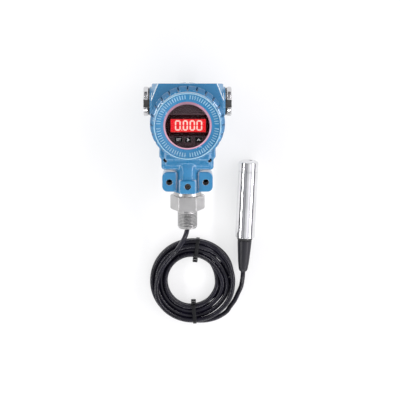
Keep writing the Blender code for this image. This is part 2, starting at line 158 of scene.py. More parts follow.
def turned_metal(name, color, rough, axis, lines=1.0, line_scale=2600.0, drift=0.04):
    """Turned or drawn metal: fine lines square to the axis, which is 0, 1 or 2."""
    m, nt, b = new_mat(name, color, rough, 1.0)
    sc = [6.0, 6.0, 6.0]
    sc[axis] = line_scale
    fine = noise(nt, coords(nt, tuple(sc)), 1.0, 2.0)
    v = coords(nt)
    soft = noise(nt, v, 60.0, 3.0)
    lo, hi = tuple(c * 0.90 for c in color), tuple(min(1.0, c * 1.07) for c in color)
    nt.links.new(ramp(nt, soft, [(0.3, lo), (0.7, hi)]), b.inputs["Base Color"])
    mixr = nt.nodes.new("ShaderNodeMath")
    mixr.operation = "ADD"
    nt.links.new(remap(nt, fine, 0.3, 0.7, rough - drift, rough + drift), mixr.inputs[0])
    nt.links.new(remap(nt, noise(nt, v, 300.0, 3.0), 0.3, 0.7, -0.02, 0.03), mixr.inputs[1])
    nt.links.new(mixr.outputs[0], b.inputs["Roughness"])
    bump(nt, b, fine, 0.10 * lines, 0.0002)
    return m


def plastic(name, color, rough, grain=500.0, strength=0.08, dist=0.0003, lift=1.35, **kw):
    m, nt, b = new_mat(name, color, rough, 0.0, **kw)
    v = coords(nt)
    hi = tuple(min(1.0, c * lift) for c in color)
    nt.links.new(ramp(nt, noise(nt, v, 40.0, 3.0), [(0.3, color), (0.7, hi)]), b.inputs["Base Color"])
    nt.links.new(remap(nt, noise(nt, v, 220.0, 3.0), 0.3, 0.7, rough - 0.05, rough + 0.06), b.inputs["Roughness"])
    bump(nt, b, noise(nt, v, grain, 2.0), strength, dist)
    return m


def cable_jacket():
    """Extruded jacket: faint lines along the cable, dust haze and a violet-grey sheen."""
    m, nt, b = new_mat("cable_jacket", (0.006, 0.005, 0.010), 0.27, 0.0, Sheen_Weight=0.03, Sheen_Roughness=0.4,
                       Sheen_Tint=(0.42, 0.38, 0.75, 1.0), Specular_IOR_Level=0.34)
    uv = nt.nodes.new("ShaderNodeUVMap")
    uv.uv_map = "UVMap"
    mp = nt.nodes.new("ShaderNodeMapping")
    mp.inputs["Scale"].default_value = (3.0, 26.0, 1.0)
    nt.links.new(uv.outputs["UV"], mp.inputs["Vector"])
    lines = noise(nt, mp.outputs["Vector"], 1.0, 3.0)
    v = coords(nt)
    haze = noise(nt, v, 55.0, 4.0)
    nt.links.new(ramp(nt, haze, [(0.32, (0.0025, 0.0022, 0.005)), (0.72, (0.007, 0.006, 0.015))]), b.inputs["Base Color"])
    add = nt.nodes.new("ShaderNodeMath")
    add.operation = "ADD"
    nt.links.new(remap(nt, lines, 0.3, 0.7, 0.20, 0.34), add.inputs[0])
    nt.links.new(remap(nt, haze, 0.3, 0.7, -0.03, 0.06), add.inputs[1])
    nt.links.new(add.outputs[0], b.inputs["Roughness"])
    n1 = bump(nt, b, lines, 0.08, 0.0002)
    bump(nt, b, noise(nt, v, 700.0, 2.0), 0.03, 0.0001, n1)
    return m


def emitter(name, color, strength, base=(0.02, 0.0, 0.0), rough=0.3):
    m, nt, b = new_mat(name, base, rough)
    v = coords(nt)
    lo, hi = tuple(c * 0.86 for c in color), color
    nt.links.new(ramp(nt, noise(nt, v, 240.0, 2.0), [(0.3, lo), (0.7, hi)]), b.inputs["Emission Color"])
    b.inputs["Emission Strength"].default_value = strength
    return m


def clear(name, color, rough, ior):
    m, nt, b = new_mat(name, color, rough, 0.0)
    b.inputs["Transmission Weight"].default_value = 1.0
    b.inputs["IOR"].default_value = ior
    v = coords(nt)
    nt.links.new(remap(nt, noise(nt, v, 90.0, 3.0), 0.35, 0.75, rough, rough + 0.012), b.inputs["Roughness"])
    return m


M_ENAMEL = enamel()
# Darker copy of the enamel for the notched grip wall: painted shade that holds down the wall's reflections; it is also
# less glossy.
M_GRIP_SHADED = plastic("enamel_grip_painted_shade", (0.016, 0.125, 0.270), 0.42, 600.0, 0.10, 0.0003, 1.3, Specular_IOR_Level=0.12)
# Lighter copy of the enamel for the crest of the lid's rim: a painted highlight.
M_CREST_HIGHLIGHT = plastic("enamel_crest_painted_highlight", (0.230, 0.410, 0.520), 0.26, 600.0, 0.06, 0.0002, 1.25, Coat_Weight=0.8, Coat_Roughness=0.10)
# Light blue-white for the corner beads: a painted highlight line.
M_EDGE_HIGHLIGHT = plastic("enamel_edge_painted_highlight", (0.66, 0.76, 0.82), 0.22, 600.0, 0.05, 0.0002, 1.15, Coat_Weight=0.8, Coat_Roughness=0.08)
# Lighter copy of the enamel for the raised bars on the lid.
M_BARS_LIGHT = plastic("enamel_bars_lighter", (0.130, 0.285, 0.400), 0.30, 700.0, 0.08, 0.0003, 1.5, Coat_Weight=0.6, Coat_Roughness=0.15)
# Near-black for the walls of the neck holes: painted shade in the holes.
M_HOLE_SHADE = plastic("bore_painted_shade", (0.004, 0.0035, 0.004), 0.6, 500.0, 0.1, Specular_IOR_Level=0.02)
# Dark copy of the chrome for the slots in the plugs: painted shade.
M_SLOT_SHADE = turned_metal("chrome_slot_painted_shade", (0.10, 0.10, 0.10), 0.35, 0, 0.5, 1500.0, 0.03)
M_CHROME = turned_metal("chrome", (0.66, 0.66, 0.67), 0.17, 0, 0.5, 1500.0, 0.03)
M_STEEL_Y = turned_metal("stainless_turned", (0.53, 0.525, 0.52), 0.36, 1, 0.5, 2200.0)
# Darker steel for the thread roots: painted shade in the grooves.
M_ROOT_SHADE = turned_metal("thread_root_painted_shade", (0.20, 0.20, 0.20), 0.42, 1, 0.5, 2200.0)
M_STEEL_Z = turned_metal("stainless_faced", (0.60, 0.60, 0.60), 0.28, 2, 1.0, 2200.0)
M_SCREW = turned_metal("screw_steel", (0.085, 0.080, 0.078), 0.30, 2, 1.0, 2200.0)
M_PROBE = turned_metal("probe_steel", (0.79, 0.79, 0.80), 0.12, 1, 0.5, 1400.0, 0.03)
M_RUBBER = plastic("rubber", (0.012, 0.012, 0.013), 0.52)
M_BOOT = plastic("boot_rubber", (0.007, 0.007, 0.010), 0.42, 650.0, 0.14, 0.0003, 1.5,
                 Sheen_Weight=0.05, Sheen_Tint=(0.5, 0.48, 0.7, 1.0), Specular_IOR_Level=0.4)
M_CABLE = cable_jacket()
M_TIE = plastic("tie_nylon", (0.003, 0.003, 0.004), 0.36, 900.0, 0.05, Specular_IOR_Level=0.35)
M_PLATE = plastic("faceplate_black", (0.0075, 0.0008, 0.0014), 0.5, 800.0, 0.05, Specular_IOR_Level=0.03)
M_PANEL = plastic("faceplate_grey", (0.030, 0.018, 0.021), 0.45, 900.0, 0.10, Specular_IOR_Level=0.12)
# Lighter copy of the panel plastic for the upper panel's lip: a painted highlight line.
M_PANEL_EDGE_HIGHLIGHT = plastic("faceplate_edge_painted_highlight", (0.075, 0.040, 0.045), 0.35, Specular_IOR_Level=0.2)
M_KEY = plastic("key_black", (0.0015, 0.0010, 0.0012), 0.40, 900.0, 0.05, 0.0002, Specular_IOR_Level=0.03)
M_MARK = plastic("mark_white", (0.46, 0.47, 0.48), 0.5)
M_RED = emitter("display_red", (0.84, 0.003, 0.020), 0.95, (0.10, 0.0, 0.0), 0.45)
M_DIGIT = emitter("digit_lit", (0.72, 0.98, 0.90), 0.95, (0.3, 0.3, 0.3), 0.4)
M_GLASS = clear("window_clear", (0.97, 0.975, 0.98), 0.004, 1.14)
M_FILTER = clear("filter_red", (1.0, 0.62, 0.58), 0.02, 1.12)
# Pink for the glass's ground edge: the display's red glow painted into its colour, with a metallic gloss.
M_BEVEL_GLOW = plastic("glass_edge_painted_red_glow", (0.60, 0.33, 0.42), 0.20, 800.0, 0.08, 0.0002, 1.25, Metallic=0.55)
M_BOARD = plastic("board_mask", (0.015, 0.12, 0.055), 0.35, 300.0, 0.2)
M_BRASS = turned_metal("brass", (0.78, 0.58, 0.27), 0.25, 2)
M_TERM = plastic("terminal_moulded", (0.025, 0.025, 0.027), 0.5, 400.0, 0.2)


# ================================================================ geometry helpers
def finish_mesh(name, bm, mats, smooth=40.0, weighted=True):
    me = bpy.data.meshes.new(name)
    bm.normal_update()
    bm.to_mesh(me)
    bm.free()
    return finish_data(name, me, mats, smooth, weighted)


def finish_data(name, me, mats, smooth=40.0, weighted=True):
    for m in (mats if isinstance(mats, (list, tuple)) else [mats]):
        me.materials.append(m)
    if smooth:
        me.polygons.foreach_set("use_smooth", [True] * len(me.polygons))
        me.set_sharp_from_angle(angle=math.radians(smooth))
    ob = bpy.data.objects.new(name, me)
    scene.collection.objects.link(ob)
    if smooth and weighted:
        wn = ob.modifiers.new("weighted", "WEIGHTED_NORMAL")
        wn.keep_sharp = True
        wn.weight = 60
    return ob


def bake(ob):
    """Replaces an object's mesh by its evaluated one and clears the modifiers."""
    dg = bpy.context.evaluated_depsgraph_get()
    me = bpy.data.meshes.new_from_object(ob.evaluated_get(dg), preserve_all_data_layers=True, depsgraph=dg)
    old = ob.data
    ob.modifiers.clear()
    ob.data = me
    bpy.data.meshes.remove(old)
    return ob


def rounded(profile, segs=3):
    """Profile of (r, h) or (r, h, fillet) points with its corners rounded."""
    out, n = [], len(profile)
    for i, p in enumerate(profile):
        rad = p[2] if len(p) > 2 else 0.0
        if rad <= 0 or i in (0, n - 1):
            out.append((p[0], p[1]))
            continue
        q = Vector(p[:2])
        a, b = Vector(profile[i - 1][:2]) - q, Vector(profile[i + 1][:2]) - q
        la, lb = a.length, b.length
        a.normalize()
        b.normalize()
        ang = a.angle(b)
        cutlen = min(rad / math.tan(ang / 2), la * 0.48, lb * 0.48)
        r = cutlen * math.tan(ang / 2)
        centre = q + (a + b).normalized() * (r / math.sin(ang / 2))
        p0, p1 = q + a * cutlen, q + b * cutlen
        a0 = math.atan2(p0.y - centre.y, p0.x - centre.x)
        a1 = math.atan2(p1.y - centre.y, p1.x - centre.x)
        d = (a1 - a0 + math.pi) % (2 * math.pi) - math.pi
        for k in range(segs + 1):
            t = a0 + d * k / segs
            out.append((centre.x + r * math.cos(t), centre.y + r * math.sin(t)))
    return out


def axes_for(axis):
    a = Vector(axis).normalized()
    up = Vector((0, 1, 0)) if abs(a.z) > 0.9 else Vector((0, 0, 1))
    e1 = up.cross(a).normalized()
    return e1, a.cross(e1), a


def lathe(name, profile, mats, origin=(0, 0, 0), axis=(0, 0, 1), steps=96, closed=False, shape=None,
          face_mat=None, smooth=40.0, weighted=True):
    """Turned body from (r, h) points in mm; shape(r, h, phi) may return a changed (r, h)."""
    e1, e2, a = axes_for(axis)
    o = Vector(origin)
    bm = bmesh.new()
    rings = []
    for r, h in profile:
        if r < 1e-6:
            rings.append([bm.verts.new((o + a * h) * MM)])
            continue
        ring = []
        for i in range(steps):
            phi = 2 * math.pi * i / steps
            rr, hh = (r, h) if shape is None else shape(r, h, phi)
            ring.append(bm.verts.new((o + (e1 * math.cos(phi) + e2 * math.sin(phi)) * rr + a * hh) * MM))
        rings.append(ring)
    pairs = list(zip(range(len(rings) - 1), range(1, len(rings))))
    if closed:
        pairs.append((len(rings) - 1, 0))
    for i, j in pairs:
        A, B = rings[i], rings[j]
        mi = face_mat(i) if face_mat else 0
        for k in range(steps):
            k2 = (k + 1) % steps
            if len(A) == 1 and len(B) == 1:
                continue
            if len(A) == 1:
                f = bm.faces.new((A[0], B[k2], B[k]))
            elif len(B) == 1:
                f = bm.faces.new((A[k], A[k2], B[0]))
            else:
                f = bm.faces.new((A[k], A[k2], B[k2], B[k]))
            f.material_index = mi
    bmesh.ops.recalc_face_normals(bm, faces=bm.faces)
    return finish_mesh(name, bm, mats, smooth, weighted)


def rbox(name, size, at, mats, bevel=0.4, segs=3, rot=(0, 0, 0), smooth=40.0):
    bm = bmesh.new()
    bmesh.ops.create_cube(bm, size=1.0)
    bmesh.ops.scale(bm, vec=Vector(size) * MM, verts=bm.verts)
    if bevel:
        bmesh.ops.bevel(bm, geom=bm.edges[:], offset=bevel * MM, segments=segs, profile=0.5, affect="EDGES")
    ob = finish_mesh(name, bm, mats, smooth)
    ob.data.transform(Matrix.Translation(Vector(at) * MM) @ Matrix.Rotation(rot[2], 4, "Z"))
    return ob


def subtract(ob, cutters, op="DIFFERENCE"):
    for i, c in enumerate(cutters):
        md = ob.modifiers.new("cut%d" % i, "BOOLEAN")
        md.operation = op
        md.object = c
        md.solver = "EXACT"
    bake(ob)
    for c in cutters:
        bpy.data.objects.remove(c, do_unlink=True)
    ob.data.polygons.foreach_set("use_smooth", [True] * len(ob.data.polygons))
    ob.data.set_sharp_from_angle(angle=math.radians(32))
    return ob


def soft_edges(ob, width, segs=2, angle=38.0):
    bv = ob.modifiers.new("edge", "BEVEL")
    bv.width = width * MM
    bv.segments = segs
    bv.limit_method = "ANGLE"
    bv.angle_limit = math.radians(angle)
    bv.harden_normals = False
    bv.use_clamp_overlap = True
    return ob


def sweep(name, pts, radius, mats, sides=14, caps=True):
    """Round tube along points in mm, with u along the length in metres x 100 and v round it."""
    P = np.array([tuple(p) for p in pts], float)
    T = np.gradient(P, axis=0)
    T /= np.linalg.norm(T, axis=1)[:, None]
    ref = np.array([0.0, 0.0, 1.0])
    N = ref - T[0] * T[0].dot(ref)
    N /= np.linalg.norm(N)
    length = np.concatenate([[0], np.cumsum(np.linalg.norm(np.diff(P, axis=0), axis=1))])
    verts, rows = [], []
    for i in range(len(P)):
        N = N - T[i] * T[i].dot(N)
        N /= np.linalg.norm(N)
        B = np.cross(T[i], N)
        r = radius(length[i]) if callable(radius) else radius
        row = []
        for k in range(sides):
            a = 2 * math.pi * k / sides
            verts.append((P[i] + r * (math.cos(a) * N + math.sin(a) * B)) * MM)
            row.append(len(verts) - 1)
        rows.append(row)
    faces, uvs = [], []
    for i in range(len(P) - 1):
        for k in range(sides):
            k2 = (k + 1) % sides
            faces.append((rows[i][k], rows[i][k2], rows[i + 1][k2], rows[i + 1][k]))
            u0, u1 = length[i] * 0.1, length[i + 1] * 0.1
            uvs += [(u0, k / sides), (u0, (k + 1) / sides), (u1, (k + 1) / sides), (u1, k / sides)]
    if caps:
        for row, flip in ((rows[0], True), (rows[-1], False)):
            f = tuple(reversed(row)) if flip else tuple(row)
            faces.append(f)
            uvs += [(0.0, 0.0)] * len(f)
    me = bpy.data.meshes.new(name)
    me.from_pydata([tuple(v) for v in verts], [], faces)
    uvl = me.uv_layers.new(name="UVMap")
    uvl.data.foreach_set("uv", np.array(uvs, np.float32).ravel())
    me.update()
    return finish_data(name, me, mats, 60.0, weighted=False)


def catmull(points, per_span):
    pts = [Vector(p) for p in points]
    ext = [2 * pts[0] - pts[1]] + pts + [2 * pts[-1] - pts[-2]]
    out = []
    for i in range(1, len(ext) - 2):
        p0, p1, p2, p3 = ext[i - 1:i + 3]
        for k in range(per_span):
            t = k / per_span
            out.append(0.5 * ((2 * p1) + (p2 - p0) * t + (2 * p0 - 5 * p1 + 4 * p2 - p3) * t * t
                              + (3 * p1 - p0 - 3 * p2 + p3) * t ** 3))
    out.append(pts[-1])
    return out


# ================================================================ the cord, which comes first
FIT_Z = 36.0
CABLE_D = 4.8
COIL_C = (5.8, -176.2)
PROBE_R = 10.0
PROBE_LEAN = math.radians(2.36)
PROBE_BASE = (58.75, -129.5)
PROBE_LEN, NOSE_LEN, BOOT_LEN = 68.4, 11.4, 35.0
UX, UY = math.sin(PROBE_LEAN), math.cos(PROBE_LEAN)

LEAD = [(0, -106.0, FIT_Z), (0, -112.0, FIT_Z - 0.2), (-1.6, -119.5, 34.4), (-4.6, -127.5, 29.2),
        (-8.2, -135.0, 22.8), (-12.6, -142.4, 17.6), (-18.4, -149.6, 15.4)]
bx, by = PROBE_BASE[0] - UX * BOOT_LEN, PROBE_BASE[1] - UY * BOOT_LEN
TAIL = []
for deg, rad in ((-38, 48.2), (-27, 48.6)):
    a = math.radians(deg)
    TAIL.append((COIL_C[0] + rad * math.cos(a), COIL_C[1] + rad * math.sin(a), CABLE_D / 2 + 0.05))
TAIL += [(52.6, -190.4, 2.6), (55.6, -182.6, 4.6), (bx - UX * 7.5, by - UY * 7.5, 8.1),
         (bx - UX * 1.5, by - UY * 1.5, PROBE_R - 0.1), (bx + UX * 4, by + UY * 4, PROBE_R)]

R_OUT = 42.2


def ease(t):
    t = min(1.0, max(0.0, t))
    return 0.5 - 0.5 * math.cos(math.pi * t)


def pitch(T):
    """Side-by-side distance of the tied turns: drawn together by the ties, loose on the right."""
    a = math.radians(T)
    return 4.92 + 0.70 * math.cos(a) + 0.29 * math.cos(2 * a) - 0.225 * math.sin(a)


APART_AT = np.arange(-180, 181)
_raw = np.interp(APART_AT, (-180, -85, -60, -45, -30, -20, -10, 0, 10, 20, 30, 40, 50, 66, 180),
                 (0, 0, -0.13, -0.20, -0.12, 0.0, 0.15, 0.25, 0.24, 0.22, 0.20, 0.15, 0.10, 0, 0))
_w = np.hanning(13)
APART = np.convolve(_raw, _w / _w.sum(), "same")


def spread(T):
    """Sideways shift of the upper layer against the middle; the lower layer has the opposite one."""
    return 0.5 * pitch(T) * float(np.interp((T + 180.0) % 360.0 - 180.0, APART_AT, APART))


def outer(T):
    return R_OUT + 0.7 * max(0.0, math.cos(math.radians(T))) ** 2


def tied(T):
    """Radius and height at total angle T in degrees: an upper layer going inward and a lower one
    going outward. Where the turns are pressed together, every second one rides up."""
    p = pitch(T)
    up = math.sqrt(max(0.0, 4.9 ** 2 - p * p))
    if T < 1860.0:
        k = sum(ease((T - a) / b) for a, b in ((680.0, 80.0), (1044.0, 83.0), (1409.0, 88.0)))
        upper = 1.0 - ease((T - 1755.0) / 75.0)
        z = 2.47 + max(4.9, 2 * up) * upper + up * math.sin(math.pi * k / 2) ** 2
        return outer(T) - p * k + spread(T) * (2.0 * upper - 1.0), z
    k = 3.0 - sum(ease((T - a) / b) for a, b in ((2100.0, 80.0), (2470.0, 82.0), (2840.0, 80.0)))
    return outer(T) - p * k - spread(T) + 6.0 * ease((T - 3125.0) / 77.0), 2.47 + up * math.sin(math.pi * k / 2) ** 2


def loose_r(T):
    groove = outer(T) - pitch(T) / 2 + 1.1
    r = 35.3 + (groove - 35.3) * ease((T - 148.0) / 80.0)
    return r + (R_OUT - r) * ease((T - 345.0) / 85.0)


# the first turn lies loose on the others, as high as they need it at each angle
LOOSE = np.arange(132, 471)
rest = []
for T in LOOSE:
    z, r = 7.37, loose_r(T)
    for m in (1, 2, 3, 4):
        if T < 408 and 478 <= T + 360 * m <= 3200:
            ri, zi = tied(T + 360 * m)
            if abs(r - ri) < 4.9:
                z = max(z, zi + math.sqrt(4.9 ** 2 - (r - ri) ** 2))
    rest.append(z)
rest = np.array([max(rest[max(0, i - 9):i + 10]) for i in range(len(rest))])
soft = np.hanning(21)
rest = np.convolve(np.concatenate([np.full(10, rest[0]), rest, np.full(10, rest[-1])]), soft / soft.sum(), "valid")


def wind_point(T):
    r, z = (loose_r(T), float(np.interp(T, LOOSE, rest))) if T < 470 else tied(T)
    a = math.radians(T)
    return (COIL_C[0] + r * math.cos(a), COIL_C[1] + r * math.sin(a), z)


ROUTE = list(LEAD) + [wind_point(T) for T in range(145, 3197, 9)] + TAIL
CORD = catmull(ROUTE, 2)
cord_len = sum((b - a).length for a, b in zip(CORD, CORD[1:]))
_P = np.array([tuple(p) for p in CORD])
_d1 = np.gradient(_P, axis=0)
_d2 = np.gradient(_d1, axis=0)
_k = np.linalg.norm(np.cross(_d1, _d2), axis=1) / np.maximum(np.linalg.norm(_d1, axis=1) ** 3, 1e-9)
_kk = np.convolve(_k, np.ones(5) / 5, "same")
print("cord length mm", round(cord_len, 1), "points", len(CORD), "tightest mm", round(1 / _kk[3:-3].max(), 1),
      "at", tuple(round(float(x), 1) for x in _P[3 + int(_kk[3:-3].argmax())]))

cable = sweep("cable", CORD, CABLE_D / 2, M_CABLE, sides=14)
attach(cable, "head")
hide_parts("cable_lead", "cable_coil", "cable_tail")


# ---------------------------------------------------------------- ties round the bundle
def hull(points):
    pts = sorted(set(points))

    def half(seq):
        out = []
        for p in seq:
            while len(out) > 1 and ((out[-1][0] - out[-2][0]) * (p[1] - out[-2][1])
                                    - (out[-1][1] - out[-2][1]) * (p[0] - out[-2][0])) <= 0:
                out.pop()
            out.append(p)
        return out[:-1]
    return half(pts) + half(pts[::-1])


def tie(name, degrees, node, slant):
    """Nylon band on the outline of the strands that it holds, with its locking head inside the ring."""
    ang = math.radians(degrees)
    er = Vector((math.cos(ang), math.sin(ang), 0))
    et = Vector((-math.sin(ang), math.cos(ang), 0))
    centre = Vector((*COIL_C, 0))
    spots = []
    for a, b in zip(CORD, CORD[1:]):
        sa, sb = (a - centre).dot(et), (b - centre).dot(et)
        if sa * sb <= 0 and (a - centre).dot(er) > 0 and sa != sb:
            p = a.lerp(b, sa / (sa - sb)) - centre
            spots.append((p.dot(er), p.z))
    spots = [s for s in spots if s[0] < 46.5]
    ring = []
    for r, z in spots:
        for k in range(32):
            t = 2 * math.pi * k / 32
            ring.append((round(r + 2.5 * math.cos(t), 4), round(max(0.12, z + 2.5 * math.sin(t)), 4)))
    H = hull(ring)
    H = [Vector(p) for p in H]
    total = sum((H[i] - H[i - 1]).length for i in range(len(H)))
    n, out, acc, i = 64, [], 0.0, 0
    for k in range(n):
        want = total * k / n
        while acc + (H[(i + 1) % len(H)] - H[i]).length < want:
            acc += (H[(i + 1) % len(H)] - H[i]).length
            i += 1
        seg = H[(i + 1) % len(H)] - H[i]
        out.append(H[i] + seg * ((want - acc) / max(seg.length, 1e-9)))
    cen = sum(out, Vector((0, 0))) / n
    bm = bmesh.new()
    half = 1.8
    rows = []
    for k in range(n):
        tan = (out[(k + 1) % n] - out[k - 1]).normalized()
        nor = Vector((tan.y, -tan.x))
        if nor.dot(out[k] - cen) < 0:
            nor = -nor
        rib = 0.06 if k % 2 else 0.0
        row = []
        for off, w in ((0.0, -half), (0.85 + rib, -half + 0.1), (1.02 + rib, -half + 0.45), (1.02 + rib, half - 0.45),
                       (0.85 + rib, half - 0.1), (0.0, half)):
            q = out[k] + nor * off
            lean = slant * (q.x - 34.7) / 10.0
            p = centre + er * q.x + et * (w + lean) + Vector((0, 0, max(0.06, q.y)))
            row.append(bm.verts.new(p * MM))
        rows.append(row)
    for k in range(n):
        A, B = rows[k], rows[(k + 1) % n]
        for j in range(6):
            j2 = (j + 1) % 6
            bm.faces.new((A[j], A[j2], B[j2], B[j]))
    bmesh.ops.recalc_face_normals(bm, faces=bm.faces)
    band = finish_mesh(name, bm, M_TIE, 50.0)
    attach(band, "head")
    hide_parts(node)
    inner = min(s[0] for s in spots) - 2.5 - 1.0
    mid = 7.6
    head = rbox(name + "_lock", (4.6, 5.0, 4.6), (0, 0, 0), M_TIE, 0.5, 3)
    slot_cut = rbox("cutter", (1.6, 3.7, 9.0), (0, 0, 0), M_TIE, 0.0)
    subtract(head, [slot_cut])
    stub = rbox("stub", (1.1, 3.4, 3.0), (0, 0, 0), M_TIE, 0.2, 2)
    stub.data.transform(Matrix.Translation(Vector((0, 0, 3.2)) * MM))
    for o in (head, stub):
        o.data.transform(Matrix.Translation((centre + er * (inner - 2.0) + et * (slant * -1.0) + Vector((0, 0, mid))) * MM)
                         @ Matrix.Rotation(ang, 4, "Z"))
        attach(o, "head")
    stub.name = name + "_end"
    return [band, head, stub]


ties = tie("tie_top", 84.0, "cable_tie_top", -0.35) + tie("tie_bottom", -88.0, "cable_tie_bottom", 0.35)


# ================================================================ housing as a fillet-blended casting
def smin(a, b, k):
    h = np.maximum(k - np.abs(a - b), 0.0) / k
    return np.minimum(a, b) - h * h * k * 0.25


def smax(a, b, k):
    return -smin(-a, -b, k)


def s_cyl(P, axis, c, r, h0, h1, rnd=0.5):
    """Cylinder along axis 0, 1 or 2; c holds the two other centre coordinates in order."""
    o = [i for i in range(3) if i != axis]
    q = np.hypot(P[:, o[0]] - c[0], P[:, o[1]] - c[1]) - r + rnd
    v = np.maximum(h0 - P[:, axis], P[:, axis] - h1) + rnd
    return np.minimum(np.maximum(q, v), 0.0) + np.hypot(np.maximum(q, 0), np.maximum(v, 0)) - rnd


def s_box(P, c, size, rnd=1.0):
    q = np.abs(P - np.array(c)) - np.array(size) / 2 + rnd
    return np.minimum(q.max(axis=1), 0.0) + np.linalg.norm(np.maximum(q, 0.0), axis=1) - rnd


def s_plane(P, n, p0):
    n = np.array(n, float)
    n /= np.linalg.norm(n)
    return (P - np.array(p0)) @ n


def s_slab(P, c, size, corner, rnd=0.8):
    """Box whose XY outline has corner radii (outer, inner) and whose rims have a small radius."""
    q = P - np.array(c)
    side = q[:, 0] * math.copysign(1.0, c[0]) > 0
    rad = np.where(side, corner[0], corner[1])
    x = np.abs(q[:, 0]) - size[0] / 2 + rad
    y = np.abs(q[:, 1]) - size[1] / 2 + rad
    flat = np.minimum(np.maximum(x, y), 0.0) + np.hypot(np.maximum(x, 0), np.maximum(y, 0)) - rad + rnd
    v = np.abs(q[:, 2]) - size[2] / 2 + rnd
    return np.minimum(np.maximum(flat, v), 0.0) + np.hypot(np.maximum(flat, 0), np.maximum(v, 0)) - rnd


TOP_FRONT, TOP_REAR = 37.3, 31.2
FALL = (TOP_FRONT - TOP_REAR) / 39.0


def casting(P):
    d = s_cyl(P, 2, (0, 0), 31.3, 14.0, 60.5, 1.0)
    d = smin(d, s_cyl(P, 2, (0, 0), 33.4, 57.0, 62.0, 0.5), 1.6)
    d = smin(d, s_cyl(P, 2, (0, 0), 26.5, 5.0, 20.0, 0.5), 0.8)
    block = s_box(P, (0, 18.5, 35.5), (70.6, 41.0, 39.0), 1.0)
    block = smax(block, s_plane(P, (0, 1, -FALL), (0, TOP_FRONT, 55.0)), 1.6)
    for s in (-1, 1):
        a = np.array((s * 28.6, TOP_FRONT, 55.0))
        b = np.array((s * 35.3, TOP_FRONT - FALL * 17.0, 38.0))
        c = np.array((s * 35.3, 20.5, 55.0))
        n = np.cross(b - a, c - a)
        if n @ np.array((s, 1, 1)) < 0:
            n = -n
        block = smax(block, s_plane(P, n, a), 0.5)
        # narrow flat on the edge between the front face and the corner face
        e = (c - a) / np.linalg.norm(c - a)
        m = np.array((s * 0.490, 0.130, 0.862))
        m = m - (m @ e) * e
        m /= np.linalg.norm(m)
        block = smax(block, s_plane(P, m, a - m * 0.42), 0.3)
    d = smin(d, block, 2.4)
    d = smin(d, s_cyl(P, 0, (16.6, FIT_Z), 14.5, -37.2, 37.2, 0.7), 1.4)
    wings = s_box(P, (0, -28.2, 37.5), (55.6, 20, 25), 2.2)
    d = smin(d, wings, 3.2)
    neck = s_box(P, (0, -40.5, 37), (52, 20, 24), 3.6)
    fairing = smax(s_box(P, (0, -38.5, 50), (44, 15, 15), 2.0), s_plane(P, (0, -0.72, 0.69), (0, -45.6, 49.4)), 1.5)
    neck = smin(neck, fairing, 1.8)
    core = s_cyl(P, 1, (0, FIT_Z), 14.8, -74.0, -38.0, 0.8)
    rib = s_box(P, (0, -58, 44.8), (9.6, 24, 13.6), 1.6)
    neck = smin(neck, core, 3.0)
    neck = smin(neck, rib, 5.0)
    neck = smin(neck, s_box(P, (0, -60, 38), (26, 15, 12), 1.0), 1.4)
    neck = smin(neck, s_box(P, (0.2, -66.6, 47.5), (16, 13.6, 14), 1.3), 1.4)
    for s in (-1, 1):
        neck = smin(neck, s_slab(P, (s * 18.1, -62, 40.5), (14, 20, 19), (5.4, 1.2), 1.0), 1.3)
    d = smin(d, neck, 3.4)
    d = np.minimum(d, s_cyl(P, 2, (0, 0), 31.3, 30.0, 71.0, 0.4))
    cuts = [s_cyl(P, 2, (0, 0), 28.2, 49.5, 90.0, 0.3), s_cyl(P, 2, (0, 0), 23.0, -10.0, 46.0, 0.5),
            s_cyl(P, 0, (16.6, FIT_Z), 8.6, 15.5, 60.0, 0.2), s_cyl(P, 0, (16.6, FIT_Z), 8.6, -60.0, -15.5, 0.2),
            s_cyl(P, 2, (0, 14), 4.0, 40.0, 52.5, 0.2), s_cyl(P, 1, (0, FIT_Z), 10.6, -90.0, -46.0, 0.2),
            s_cyl(P, 1, (0, FIT_Z), 4.5, -50.0, -14.0, 0.2), s_cyl(P, 2, (0.2, -66.0), 3.1, 46.2, 70.0, 0.2)]
    for s in (-1, 1):
        cuts.append(s_cyl(P, 2, (s * 18.1, -62.4), 3.1, 34.0, 70.0, 0.2))
        cuts.append(s_cyl(P, 2, (s * 21.9, -40.0), 1.8, 42.0, 70.0, 0.2))
    for c in cuts:
        d = smax(d, -c, 0.6)
    return d


def grad(f, P, e=0.05):
    g = np.empty_like(P)
    for i in range(3):
        q = P.copy()
        q[:, i] += e
        a = f(q)
        q[:, i] -= 2 * e
        g[:, i] = (a - f(q)) / (2 * e)
    return g


